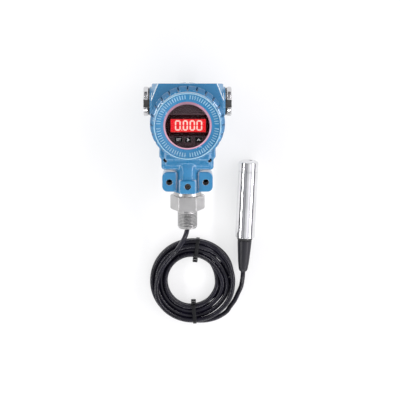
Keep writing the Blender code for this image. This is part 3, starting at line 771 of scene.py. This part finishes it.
def surface_nets(f, lo, hi, step):
    ax = [np.arange(lo[i], hi[i] + step, step) for i in range(3)]
    shape = tuple(len(a) for a in ax)
    F = np.empty(shape, np.float32)
    Y, Z = np.meshgrid(ax[1], ax[2], indexing="ij")
    yz = np.stack([Y.ravel(), Z.ravel()], 1)
    for i0 in range(0, shape[0], 8):
        xs = ax[0][i0:i0 + 8]
        P = np.concatenate([np.column_stack([np.full(len(yz), x), yz]) for x in xs])
        F[i0:i0 + 8] = f(P).reshape(len(xs), shape[1], shape[2])
    inside = F < 0
    cs = tuple(s - 1 for s in shape)
    acc = np.zeros(cs + (3,))
    cnt = np.zeros(cs)
    offs = [(0, 0), (0, 1), (1, 0), (1, 1)]
    quads = []
    for axis in range(3):
        o = [i for i in range(3) if i != axis]
        A = [slice(None)] * 3
        B = [slice(None)] * 3
        A[axis], B[axis] = slice(0, -1), slice(1, None)
        fa, fb = F[tuple(A)], F[tuple(B)]
        ch = inside[tuple(A)] != inside[tuple(B)]
        idx = np.argwhere(ch)
        t = fa[ch] / (fa[ch] - fb[ch])
        pos = idx.astype(float)
        pos[:, axis] += t
        for da, db in offs:
            cell = idx.copy()
            cell[:, o[0]] -= da
            cell[:, o[1]] -= db
            ok = ((cell >= 0) & (cell < np.array(cs))).all(axis=1)
            c = cell[ok]
            np.add.at(acc, tuple(c.T), pos[ok])
            np.add.at(cnt, tuple(c.T), 1)
        ok = ((idx[:, o[0]] > 0) & (idx[:, o[1]] > 0) & (idx[:, o[0]] < cs[o[0]]) & (idx[:, o[1]] < cs[o[1]]))
        id2, flip = idx[ok], inside[tuple(A)][ch][ok]
        four = []
        for da, db in ((1, 1), (0, 1), (0, 0), (1, 0)):
            cell = id2.copy()
            cell[:, o[0]] -= da
            cell[:, o[1]] -= db
            four.append(cell)
        q = np.stack([np.ravel_multi_index(tuple(c.T), cs) for c in four], 1)
        if axis == 1:
            flip = ~flip
        q[~flip] = q[~flip][:, ::-1]
        quads.append(q)
    quads = np.concatenate(quads)
    used = np.unique(quads)
    remap_i = np.full(int(np.prod(cs)), -1)
    remap_i[used] = np.arange(len(used))
    V = (acc.reshape(-1, 3)[used] / cnt.reshape(-1)[used][:, None]) * step + np.array([a[0] for a in ax])
    return V, remap_i[quads]


def project(f, V, rounds=3):
    for _ in range(rounds):
        d = f(V)
        g = grad(f, V)
        V = V - np.clip(d / np.maximum((g * g).sum(1), 0.25), -0.6, 0.6)[:, None] * g
    return V


def cast_object(name, f, lo, hi, step, mat, keep=0.5):
    V, Q = surface_nets(f, lo, hi, step)
    V = project(f, V, 2)
    me = bpy.data.meshes.new(name)
    me.from_pydata((V * MM).tolist(), [], Q.tolist())
    me.validate()
    ob = bpy.data.objects.new(name, me)
    scene.collection.objects.link(ob)
    if keep < 1.0:
        dc = ob.modifiers.new("fewer", "DECIMATE")
        dc.ratio = keep
        bake(ob)
    me = ob.data
    n = len(me.vertices)
    co = np.empty(n * 3)
    me.vertices.foreach_get("co", co)
    V = project(f, co.reshape(-1, 3) / MM, 2)
    me.vertices.foreach_set("co", (V * MM).ravel())
    g = grad(f, V, 0.12)
    g /= np.maximum(np.linalg.norm(g, axis=1)[:, None], 1e-9)
    me.update()
    me.polygons.foreach_set("use_smooth", [True] * len(me.polygons))
    me.normals_split_custom_set_from_vertices(g.tolist())
    me.materials.append(mat)
    return ob


step = 0.72
housing = cast_object("housing_cast", casting, (-38.6, -75.4, 3.6), (38.6, 39.0, 72.4), step, M_ENAMEL,
                      0.5)
housing.data.materials.append(M_HOLE_SHADE)
# The hole walls in the neck get the near-black painted shade.
HOLES = [(s * 18.1, -62.4, 3.1) for s in (-1, 1)] + [(s * 21.9, -40.0, 1.8) for s in (-1, 1)] + [(0.2, -66.0, 3.1)]
for poly in housing.data.polygons:
    c = poly.center / MM
    if 20.0 < c.z < 53.6 and c.y < -36:
        for hx, hy, hr in HOLES:
            if math.hypot(c.x - hx, c.y - hy) < hr + 0.15 and c.z < (48.6 if hr > 2 and abs(hx) > 5 else 53.0) - 0.4:
                poly.material_index = 1
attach(housing, "head")
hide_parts("housing", "housing_neck")
housing.visible_glossy = False
# Thin beads along the block's two corner edges, coloured light as a painted highlight line.
for side, s in (("left", -1), ("right", 1)):
    a = Vector((s * 28.75, TOP_FRONT - 0.2, 54.62))
    c = Vector((s * 35.05, 20.9, 54.62))
    b = Vector((s * 35.05, 20.9 + 0.42 * 13.9, 54.62 - 0.42 * 17.0))
    pts = [a.lerp(c, t / 12) for t in range(13)] + [c.lerp(b, t / 5) for t in range(1, 6)]
    bead = sweep("corner_highlight_bead_" + side, pts, 0.52, M_EDGE_HIGHLIGHT, sides=12)
    bead.visible_glossy = False
    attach(bead, "head")

# ================================================================ covers
ANG0 = math.atan2(axes_for((0, 0, 1))[0].y, axes_for((0, 0, 1))[0].x)
STEPS = 720


def dense(profile, longest):
    out = [profile[0]]
    for a, b in zip(profile, profile[1:]):
        n = max(1, int(math.ceil(math.hypot(b[0] - a[0], b[1] - a[1]) / longest)))
        out += [(a[0] + (b[0] - a[0]) * k / n, a[1] + (b[1] - a[1]) * k / n) for k in range(1, n + 1)]
    return out


def notch_weight(phi, count, half_deg, edge_deg, phase=0.0):
    p = 360.0 / count
    d = abs((math.degrees(phi) - phase + p / 2) % p - p / 2)
    return min(1.0, max(0.0, (half_deg + edge_deg - d) / edge_deg))


def raised(r, phi):
    """Height share of the plain pattern on the sloping face: even radial bars in four groups."""
    k, off = divmod(math.degrees(phi) % 90.0 + 2.5, 5.0)
    if int(k) % 18 == 0:
        return 0.0
    d = abs(off - 2.5) * math.pi / 180.0 * r
    lo, hi, width = 26.0, 30.3, 0.50
    w = min(1.0, max(0.0, (width - d) / 0.12 + 0.5))
    return w * min(1.0, max(0.0, (r - lo) / 0.25)) * min(1.0, max(0.0, (hi - r) / 0.25))


def front_shape(r, h, phi):
    if 65.45 < h < 79.6 and r > 33.0:
        w = notch_weight(phi, 24, 1.15, 0.4)
        end = min(1.0, max(0.0, (h - 65.45) / 0.25))
        r = r - max(0.0, r - 33.5) * w * end
        if h > 77.5:
            r = min(r, 33.5) if w > 0.5 else r
    if 80.8 < h < 83.6 and 25.0 < r < 31.0:
        h += 0.5 * raised(r, phi)
    return r, h


front_profile = [(31.7, 63.5), (36.4, 63.5, 0.6), (36.4, 69.0, 0.9), (34.45, 78.25, 0.3), (33.05, 79.13, 0.2), (32.8, 79.2, 0.1),
                 (32.8, 83.3, 0.7), (32.2, 84.0, 0.7), (31.5, 84.0, 0.35), (31.0, 83.05, 0.3), (24.0, 81.0, 0.4), (23.35, 80.75, 0.2),
                 (23.3, 79.9), (28.4, 79.9), (28.4, 72.6), (31.7, 72.6), (31.7, 63.5)]
fp = rounded(front_profile, 4)[:-1]
i0 = next(i for i, p in enumerate(fp) if p[0] > 33)
dens = []
for a, b in zip(fp, fp[1:] + [fp[0]]):
    dens.append(a)
    inner = a[1] > 80.5 and b[1] > 80.5 and 23.9 < min(a[0], b[0]) and max(a[0], b[0]) < 31.5
    wall = min(a[0], b[0]) > 32.9
    n = max(1, int(math.hypot(b[0] - a[0], b[1] - a[1]) / (0.22 if inner else 0.7))) if (inner or wall) else 1
    dens += [(a[0] + (b[0] - a[0]) * k / n, a[1] + (b[1] - a[1]) * k / n) for k in range(1, n)]
fsteps = STEPS
front = lathe("front_cover_cast", dens, M_ENAMEL, steps=fsteps, closed=True, shape=front_shape, smooth=48.0)
front.data.materials.append(M_BARS_LIGHT)
front.data.materials.append(M_GRIP_SHADED)
front.data.materials.append(M_CREST_HIGHLIGHT)
for poly in front.data.polygons:
    c = poly.center / MM
    # notched wall: the enamel copy with painted shade
    if 63.6 < c.z < 78.2 and math.hypot(c.x, c.y) > 33.0:
        poly.material_index = 2
    if c.z > 80.9:
        rr = math.hypot(c.x, c.y)
        # rim crest: the enamel copy with a painted highlight
        if c.z > 83.72:
            poly.material_index = 3
        # raised bars: the lighter enamel copy
        if 25.6 < rr < 30.8 and raised(rr, math.atan2(c.y, c.x) % (2 * math.pi) - ANG0) > 0.35:
            poly.material_index = 1
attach(front, "front_lid")
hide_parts("front_cover")


def rear_shape(r, h, phi):
    if h < 10.05 and r > 29.2:
        w = notch_weight(phi, 16, 2.1, 0.6)
        end = min(1.0, max(0.0, (10.05 - h) / 0.25))
        r = r - (r - 29.25) * w * end
    return r, h


rp = rounded([(0, 4.0), (26.9, 4.0), (26.9, 12.5), (30.8, 12.5, 0.4), (30.8, 4.0, 0.5), (29.4, 1.0, 0.5), (27.4, 0.0, 0.4), (20.0, 0.0),
              (19.2, 0.35, 0.2), (8.0, 0.35, 0.2), (7.4, 0.0), (0, 0.0)], 3)
dens = []
for a, b in zip(rp, rp[1:] + [None]):
    dens.append(a)
    if b and min(a[0], b[0]) > 29.0:
        n = max(1, int(math.hypot(b[0] - a[0], b[1] - a[1]) / 0.6))
        dens += [(a[0] + (b[0] - a[0]) * k / n, a[1] + (b[1] - a[1]) * k / n) for k in range(1, n)]
rear = lathe("rear_cover_cast", dens, M_ENAMEL, steps=360, shape=rear_shape, smooth=48.0)
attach(rear, "rear_lid")
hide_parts("rear_cover")


def ring(name, node, body, r0, r1, h0, h1, mat, slot, origin=(0, 0, 0), axis=(0, 0, 1), rnd=0.35, steps=128):
    prof = rounded([(r0, (h0 + h1) / 2), (r0, h0, rnd), (r1, h0, rnd), (r1, h1, rnd), (r0, h1, rnd), (r0, (h0 + h1) / 2)], 4)[:-1]
    o = lathe(name, prof, mat, origin, axis, steps, closed=True, smooth=50.0)
    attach(o, body)
    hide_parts(node)
    return o


ring("front_o_ring", "front_cover_seal", "front_seal", 31.8, 33.2, 62.3, 63.2, M_RUBBER, "rubber", rnd=0.4)
ring("rear_o_ring", "rear_cover_seal", "rear_seal", 27.0, 30.2, 12.8, 13.7, M_RUBBER, "rubber", rnd=0.4)
ring("gasket_ring", "window_gasket", "front_lid", 26.7, 28.2, 76.4, 79.6, M_RUBBER, "rubber", rnd=0.3)
ring("retainer_ring", "window_retainer", "front_lid", 24.6, 28.1, 73.0, 76.1, M_STEEL_Z, "steel", rnd=0.3)

# window: clear disc with a ground edge that stands in the cover's lip; the edge's pink is the display's painted red
# glow
gp = [(0, 83.2), (21.1, 83.2), (21.35, 83.1), (22.75, 81.6), (22.95, 81.3), (22.95, 79.6), (26.4, 79.6), (26.4, 76.4), (0, 76.4)]
glass = lathe("window", gp, [M_GLASS, M_BEVEL_GLOW], steps=192, smooth=30.0,
              face_mat=lambda i: 1 if i in (2, 3, 4, 5, 6) else 0)
glass.visible_shadow = False
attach(glass, "front_lid")
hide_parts("window_glass")

# ================================================================ plugs
for side, s in (("left", -1), ("right", 1)):
    prof = rounded([(0, 43.3), (9.6, 43.3), (10.4, 42.95, 0.2), (12.2, 42.95, 0.2), (12.9, 43.3), (13.6, 43.3, 0.25), (14.5, 42.4, 0.4),
                    (14.5, 39.4, 0.4), (13.9, 38.7, 0.2), (8.2, 38.7), (8.2, 29.2), (7.4, 28.4), (0, 28.4)], 3)
    plug = lathe(side + "_stopper_plug", prof, M_CHROME, (0, 16.6, FIT_Z), (s, 0, 0), 128, smooth=35.0, weighted=False)
    cutters = []
    for t in (-1, 1):
        cutters.append(rbox("cutter", (8, 7.4, 4), (s * 41, 16.6, FIT_Z + t * 14.6), M_CHROME, 0.0))
    subtract(plug, cutters)
    # The slot faces get the dark chrome copy as painted shade.
    plug.data.materials.append(M_SLOT_SHADE)
    for poly in plug.data.polygons:
        c = poly.center / MM
        if abs(c.y - 16.6) < 3.72 and 12.5 < abs(c.z - FIT_Z) < 14.35 and abs(c.x) < 43.25 and abs(poly.normal.x) < 0.5:
            poly.material_index = len(plug.data.materials) - 1
    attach(plug, side + "_stopper")
    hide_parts(side + "_plug")
    ring(side + "_plug_ring", side + "_plug_seal", side + "_seal", 9.0, 13.6, 37.5, 38.4, M_RUBBER, "rubber",
         (0, 16.6, FIT_Z), (s, 0, 0), 0.4)

# ================================================================ display
KEYS = (("set", "set_button", -8.7, 7.0), ("shift", "shift_button", 0.5, 5.4), ("up", "up_button", 10.8, 6.0))
KEY_Y, KEY_H = -14.9, 4.5


def give(node, mat):
    """A new material for a CAD node that keeps its shape."""
    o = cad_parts[node]
    o.data.materials.clear()
    o.data.materials.append(mat)


give("display_faceplate", M_PLATE)
give("display_board", M_BOARD)
give("main_board", M_BOARD)
for i in (1, 2, 3):
    give("standoff_%d" % i, M_BRASS)
    give("terminal_screw_%d" % i, M_BRASS)
give("ground_screw", M_BRASS)
give("terminal_block", M_TERM)
give("cable_grommet", M_RUBBER)
give("sensor_cell", M_STEEL_Y)
give("probe_board", M_BOARD)
give("nose_seal", M_RUBBER)


def panel(name, y0, y1, z0, z1, mats, holes=()):
    """Part of the round faceplate between two chords, with cut-outs for the keys."""
    R = 25.2
    out = []
    n = 72
    if y0 is None:
        a0, a1 = math.pi - math.asin(y1 / R), 2 * math.pi + math.asin(y1 / R)
    else:
        a0, a1 = math.asin(y0 / R), math.pi - math.asin(y0 / R)
    for k in range(n + 1):
        a = a0 + (a1 - a0) * k / n
        out.append((R * math.cos(a), R * math.sin(a)))
    bm = bmesh.new()
    lo = [bm.verts.new((x * MM, y * MM, z0 * MM)) for x, y in out]
    face = bm.faces.new(lo)
    res = bmesh.ops.extrude_face_region(bm, geom=[face])
    up = [v for v in res["geom"] if isinstance(v, bmesh.types.BMVert)]
    bmesh.ops.translate(bm, vec=(0, 0, (z1 - z0) * MM), verts=up)
    bmesh.ops.recalc_face_normals(bm, faces=bm.faces)
    ob = finish_mesh(name, bm, mats, 35.0, weighted=False)
    if holes:
        subtract(ob, holes)
    soft_edges(ob, 0.12, 2, 50.0)
    bake(ob)
    ob.data.polygons.foreach_set("use_smooth", [True] * len(ob.data.polygons))
    ob.data.set_sharp_from_angle(angle=math.radians(35))
    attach(ob, "head")
    return ob


panel("panel_upper", 10.4, None, 72.05, 72.55, M_PANEL)
panel("panel_lower", None, -11.4, 72.05, 72.55, M_PANEL,
      [rbox("cutter", (w + 0.6, KEY_H + 0.6, 4), (x, KEY_Y, 72.2), M_PANEL, 0.5) for _, _, x, w in KEYS])
# A thin lip in the lighter copy of the panel plastic: a painted highlight along the upper panel's edge.
lip = rbox("panel_upper_lip", (45.0, 0.55, 0.35), (0, 10.05, 72.3), M_PANEL_EDGE_HIGHLIGHT, 0.12, 2)
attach(lip, "head")

filt = rbox("filter_window", (34.0, 13.0, 1.6), (0.7, -1.4, 71.5), M_FILTER, 0.25, 3)
filt.visible_shadow = False
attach(filt, "head")
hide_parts("display_filter")
glow = rbox("display_back", (33.6, 12.6, 0.5), (0.7, -1.4, 69.9), M_RED, 0.1, 2)
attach(glow, "head")


def bar(bm, x0, y0, x1, y1, w, z0, z1):
    """One six-sided segment from end to end."""
    d = Vector((x1 - x0, y1 - y0))
    L = d.length
    d.normalize()
    n = Vector((-d.y, d.x))
    h = w / 2
    pts = [(0, 0), (h, h), (L - h, h), (L, 0), (L - h, -h), (h, -h)]
    ring_lo, ring_hi = [], []
    for a, b in pts:
        p = Vector((x0, y0)) + d * a + n * b
        ring_lo.append(bm.verts.new((p.x * MM, p.y * MM, z0 * MM)))
        ring_hi.append(bm.verts.new((p.x * MM, p.y * MM, z1 * MM)))
    bm.faces.new(ring_lo[::-1])
    bm.faces.new(ring_hi)
    for k in range(6):
        k2 = (k + 1) % 6
        bm.faces.new((ring_lo[k], ring_lo[k2], ring_hi[k2], ring_hi[k]))


for i, (a, b) in enumerate(((-12.3, -6.4), (-4.7, 0.5), (1.9, 7.4), (8.5, 14.4))):
    w, g = 1.35, 0.12
    x0, x1 = a + w / 2 + 0.1, b - w / 2 - 0.1
    y0, ym, y1 = -1.25 - 5.1 + w / 2, -1.25, -1.25 + 5.1 - w / 2
    bm = bmesh.new()
    for p, q in (((x0, y1), (x1, y1)), ((x1, y1), (x1, ym)), ((x1, ym), (x1, y0)), ((x0, y0), (x1, y0)), ((x0, ym), (x0, y0)),
                 ((x0, y1), (x0, ym))):
        v = Vector(q) - Vector(p)
        v.normalize()
        p2, q2 = Vector(p) + v * g, Vector(q) - v * g
        bar(bm, p2.x, p2.y, q2.x, q2.y, w, 70.15, 70.45)
    if i == 0:
        bar(bm, b + 0.35, y0 - 0.1, b + 1.45, y0 - 0.1, 1.1, 70.15, 70.45)
    bmesh.ops.recalc_face_normals(bm, faces=bm.faces)
    seg = finish_mesh("digit_segments_%d" % (i + 1), bm, M_DIGIT, 30.0, weighted=False)
    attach(seg, "head")
    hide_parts("digit_%d" % (i + 1))


def lettering(name, text, at, size, body, mat):
    cu = bpy.data.curves.new(name, "FONT")
    cu.body = text
    cu.size = size * MM
    cu.align_x = "CENTER"
    cu.align_y = "CENTER"
    cu.extrude = 0.05 * MM
    tmp = bpy.data.objects.new(name, cu)
    scene.collection.objects.link(tmp)
    dg = bpy.context.evaluated_depsgraph_get()
    me = bpy.data.meshes.new_from_object(tmp.evaluated_get(dg))
    bpy.data.objects.remove(tmp, do_unlink=True)
    me.transform(Matrix.Translation(Vector(at) * MM) @ Matrix.Diagonal((0.86, 1.12, 1.0, 1.0)))
    me.materials.clear()
    me.materials.append(mat)
    ob = bpy.data.objects.new(name, me)
    scene.collection.objects.link(ob)
    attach(ob, body)
    return ob


def chevron(name, at, size, up, body, mat):
    bm = bmesh.new()
    w = size * 0.19
    h = size / 2
    if up:
        runs = (((-h, -h * 0.7), (0, h * 0.7)), ((0, h * 0.7), (h, -h * 0.7)))
    else:
        runs = (((-h * 0.8, h * 0.85), (h * 0.8, 0)), ((h * 0.8, 0), (-h * 0.8, -h * 0.85)))
    for p, q in runs:
        bar(bm, at[0] + p[0], at[1] + p[1], at[0] + q[0], at[1] + q[1], w, at[2] - 0.03, at[2] + 0.06)
    bmesh.ops.recalc_face_normals(bm, faces=bm.faces)
    ob = finish_mesh(name, bm, mat, 0, weighted=False)
    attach(ob, body)
    return ob


for tag, node, x, w in KEYS:
    key = rbox(tag + "_key_cap", (w, KEY_H, 4.2), (x, KEY_Y, 70.9), M_KEY, 0.55, 4)
    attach(key, tag + "_key")
    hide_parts(node)
lettering("set_mark", "SET", (-8.7, KEY_Y, 73.06), 3.3, "set_key", M_MARK)
chevron("shift_mark", (0.5, KEY_Y, 73.04), 3.0, False, "shift_key", M_MARK)
chevron("up_mark", (10.8, KEY_Y, 73.04), 3.0, True, "up_key", M_MARK)

# ================================================================ neck hardware and fitting
screw = lathe("clamp_socket_screw", rounded([(0, 51.4), (2.2, 51.4), (2.8, 50.9, 0.15), (2.8, 46.7), (0, 46.7)], 3), M_SCREW,
              (0.2, -66.0, 0), steps=48, smooth=35.0, weighted=False)
bm = bmesh.new()
bmesh.ops.create_cone(bm, cap_ends=True, segments=6, radius1=1.5 * MM, radius2=1.5 * MM, depth=5 * MM)
bmesh.ops.translate(bm, vec=Vector((0.2, -66.0, 51.6)) * MM, verts=bm.verts)
hexc = finish_mesh("cutter", bm, M_SCREW, 0, weighted=False)
subtract(screw, [hexc])
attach(screw, "head")
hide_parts("clamp_screw")

ring("collar_ring", "fitting_collar", "fitting", 10.6, 13.8, 74.3, 77.5, M_STEEL_Y, "steel", (0, 0, FIT_Z), (0, -1, 0), 0.45)

HEX_R = 30.0 / math.sqrt(3)
bm = bmesh.new()
bmesh.ops.create_cone(bm, cap_ends=True, segments=6, radius1=HEX_R * MM, radius2=HEX_R * MM, depth=14.2 * MM)
bmesh.ops.rotate(bm, cent=(0, 0, 0), matrix=Matrix.Rotation(math.pi / 6, 3, "Z"), verts=bm.verts)
upright = [e for e in bm.edges if abs((e.verts[0].co - e.verts[1].co).z) > 1e-4]
bmesh.ops.bevel(bm, geom=upright, offset=0.45 * MM, segments=3, profile=0.5, affect="EDGES")
nut = finish_mesh("fitting_hexagon", bm, M_STEEL_Y, 25.0, weighted=False)
nut.data.transform(Matrix.Translation(Vector((0, -84.9, FIT_Z)) * MM) @ Matrix.Rotation(math.pi / 2, 4, "X"))
crown = lathe("cutter", [(0, 93.0), (HEX_R - 2.9, 93.0), (HEX_R + 1.2, 90.6), (HEX_R + 1.2, 79.2), (HEX_R - 2.9, 76.8), (0, 76.8)],
              M_STEEL_Y, (0, 0, FIT_Z), (0, -1, 0), 144, weighted=False)
subtract(nut, [crown], "INTERSECT")
bore = lathe("cutter", [(0, 100.0), (9.4, 100.0), (9.4, 70.0), (0, 70.0)], M_STEEL_Y, (0, 0, FIT_Z), (0, -1, 0), 64, weighted=False)
subtract(nut, [bore])
soft_edges(nut, 0.18, 2, 20.0)
wn = nut.modifiers.new("weighted", "WEIGHTED_NORMAL")
wn.keep_sharp = False
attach(nut, "fitting")

TP = 1.5
H0, H1 = 94.9, 111.9


def thread_shape(r, h, phi):
    if r > 9.05 and H0 <= h <= H1 + 0.01:
        t = (h / TP - phi / (2 * math.pi)) % 1.0
        tri = abs(2 * t - 1)
        depth = 0.86 * min(1.0, max(0.0, (tri - 0.12) / 0.76))
        fade = min(1.0, (h - H0) / 0.8)
        r = max(8.9, r - depth * fade)
    return r, h


tprof = [(3.1, 76.0), (10.3, 76.0), (10.3, 90.0), (9.0, 92.4), (9.0, 94.3), (10.0, H0)]
n = 104
for k in range(1, n + 1):
    h = H0 + (H1 - 0.1 - H0) * k / n
    r = 10.0 if h < 109.2 else 10.0 - 1.5 * ((h - 109.2) / 2.7) ** 1.7
    tprof.append((r, h))
tprof += [(8.2, 111.9), (5.4, 111.9), (5.05, 111.6), (5.0, 104.2), (3.1, 103.8)]
thr = lathe("fitting_thread", tprof, M_STEEL_Y, (0, 0, FIT_Z), (0, -1, 0), 96, closed=True, shape=thread_shape, smooth=60.0, weighted=False)
# The faces in the thread's grooves get the darker steel as painted shade.
thr.data.materials.append(M_ROOT_SHADE)
for poly in thr.data.polygons:
    c = poly.center / MM
    if -H1 < c.y < -H0 and math.hypot(c.x, c.z - FIT_Z) < 9.42 and c.y > -109.6:
        poly.material_index = 1
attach(thr, "fitting")
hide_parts("process_fitting")

# ================================================================ probe
PB = (PROBE_BASE[0], PROBE_BASE[1], PROBE_R)
PU = (UX, UY, 0.0)
R = PROBE_R
tube = lathe("probe_body", rounded([(3.2, 1.3), (R - 0.6, 1.3, 0.3), (R, 1.9, 0.3), (R, 70.35, 0.15), (8.7, 70.35), (8.6, 5.5), (3.2, 5.5)], 3),
             M_PROBE, PB, PU, 160, closed=True, smooth=35.0)
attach(tube, "head")
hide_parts("probe_tube")

top = PROBE_LEN + 1 + NOSE_LEN
nose = lathe("probe_cap", rounded([(0, top), (R - 2.0, top, 0.9), (R - 0.3, top - 0.9, 1.0), (R, top - 2.2, 1.0), (R, 70.5, 0.15), (8.2, 70.5), (8.2, 64.4),
                                   (6.8, 64.4), (6.8, top - 3.0), (0, top - 3.0)], 5), M_PROBE, PB, PU, 160, smooth=40.0, weighted=False)
hx, hz = 2.4, -3.2
hp = Vector((PB[0] + UX * top + hx * UY, PB[1] + UY * top - hx * UX, PROBE_R + hz))
hole = lathe("cutter", [(0, 4.0), (1.75, 4.0), (1.4, -0.4), (1.4, -4.5), (0, -4.5)], M_PROBE, tuple(hp), PU, 40, weighted=False)
subtract(nose, [hole])
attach(nose, "tip")
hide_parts("probe_nose")

collar = lathe("boot_collar", rounded([(3.2, 1.0), (7.9, 1.0, 0.3), (7.9, -0.3, 0.3), (7.5, -0.6, 0.15), (7.6, -1.1, 0.2), (7.2, -1.7, 0.3), (3.2, -1.7)], 4),
               M_RUBBER, PB, PU, 128, closed=True, smooth=45.0)
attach(collar, "head")
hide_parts("probe_collar")

boot = lathe("strain_boot", rounded([(2.75, -2.0), (6.9, -2.0, 0.4), (7.2, -2.6, 0.4), (7.15, -5.0, 0.6), (6.7, -12.0, 3.0), (5.7, -25.0, 3.0), (4.55, -33.2, 0.7),
                                     (3.5, -35.0, 0.5), (2.75, -35.0)], 5), M_BOOT, PB, PU, 128, closed=True, smooth=45.0)
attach(boot, "head")
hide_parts("probe_boot")

# ================================================================ floor and light
bm = bmesh.new()
bmesh.ops.create_grid(bm, x_segments=4, y_segments=4, size=3.0)
floor_mat, nt, b = new_mat("floor", (0.55, 0.55, 0.555), 0.9)
grey = noise(nt, coords(nt), 3.0, 2.0)
nt.links.new(ramp(nt, grey, [(0.3, (0.28, 0.28, 0.283)), (0.7, (0.30, 0.30, 0.303))]), b.inputs["Base Color"])
nt.links.new(ramp(nt, grey, [(0.3, (0.98, 0.98, 0.985)), (0.7, (1.0, 1.0, 1.0))]), b.inputs["Emission Color"])
b.inputs["Emission Strength"].default_value = 0.66
b.inputs["Specular IOR Level"].default_value = 0.0
me = bpy.data.meshes.new("floor")
bm.to_mesh(me)
bm.free()
me.materials.append(floor_mat)
floor = bpy.data.objects.new("floor", me)
floor.location = (0, 0, -0.0002)
scene.collection.objects.link(floor)

world = bpy.data.worlds.new("studio")
scene.world = world
world.use_nodes = True
wt = world.node_tree
bg = wt.nodes["Background"]
tc = wt.nodes.new("ShaderNodeTexCoord")
sep = wt.nodes.new("ShaderNodeSeparateXYZ")
wt.links.new(tc.outputs["Generated"], sep.inputs[0])
up_part = ramp(wt, sep.outputs["Z"], [(0.0, (0.10, 0.10, 0.11)), (0.20, (0.16, 0.16, 0.17)), (0.45, (0.40, 0.40, 0.41)), (0.80, (0.48, 0.48, 0.49)),
                                      (0.93, (0.74, 0.74, 0.75)), (1.0, (0.78, 0.78, 0.79))])
across = ramp(wt, remap(wt, sep.outputs["X"], -1.0, 1.0, 0.0, 1.0),
              [(0.0, (0.95, 0.95, 0.96)), (0.05, (0.95, 0.95, 0.96)), (0.07, (0.16, 0.16, 0.17)), (0.13, (0.16, 0.16, 0.17)),
               (0.15, (0.72, 0.72, 0.75)), (0.30, (0.80, 0.80, 0.83)), (0.32, (0.30, 0.30, 0.32)), (0.36, (0.34, 0.34, 0.36)),
               (0.40, (0.92, 0.92, 0.95)), (0.54, (1.0, 1.0, 1.0)), (0.66, (1.75, 1.75, 1.78)), (0.94, (2.1, 2.1, 2.12)), (1.0, (1.1, 1.1, 1.14))])
both = wt.nodes.new("ShaderNodeMix")
both.data_type = "RGBA"
both.blend_type = "MULTIPLY"
both.inputs["Factor"].default_value = 1.0
wt.links.new(up_part, both.inputs[6])
wt.links.new(across, both.inputs[7])
wt.links.new(both.outputs[2], bg.inputs["Color"])
bg.inputs["Strength"].default_value = 1.0


def softbox(name, at, aim, w, h, radiance, tint=(1.0, 1.0, 1.0)):
    ld = bpy.data.lights.new(name, "AREA")
    ld.shape = "RECTANGLE"
    ld.size, ld.size_y = w, h
    ld.energy = radiance * math.pi * w * h
    ld.color = tint
    lo = bpy.data.objects.new(name, ld)
    lo.location = at
    d = Vector(aim) - Vector(at)
    lo.rotation_euler = d.to_track_quat("-Z", "Y").to_euler()
    scene.collection.objects.link(lo)
    return lo


# two long strips at the sides and a lower one in front of the foot
softbox("left_strip", (-1.10, 0.30, 0.70), (0, 0.30, 0), 2.4, 0.13, 17.0)
softbox("right_strip", (1.10, 0.30, 0.70), (0, 0.30, 0), 2.4, 0.13, 17.0, (1.0, 0.96, 1.0))
softbox("foot_strip", (0.0, -1.35, 0.62), (0, 0, 0), 1.9, 0.14, 13.0)

# as in the photo, the polished probe mirrors the studio and not its neighbours
for ob in (front, nut, thr):
    ob.visible_glossy = False
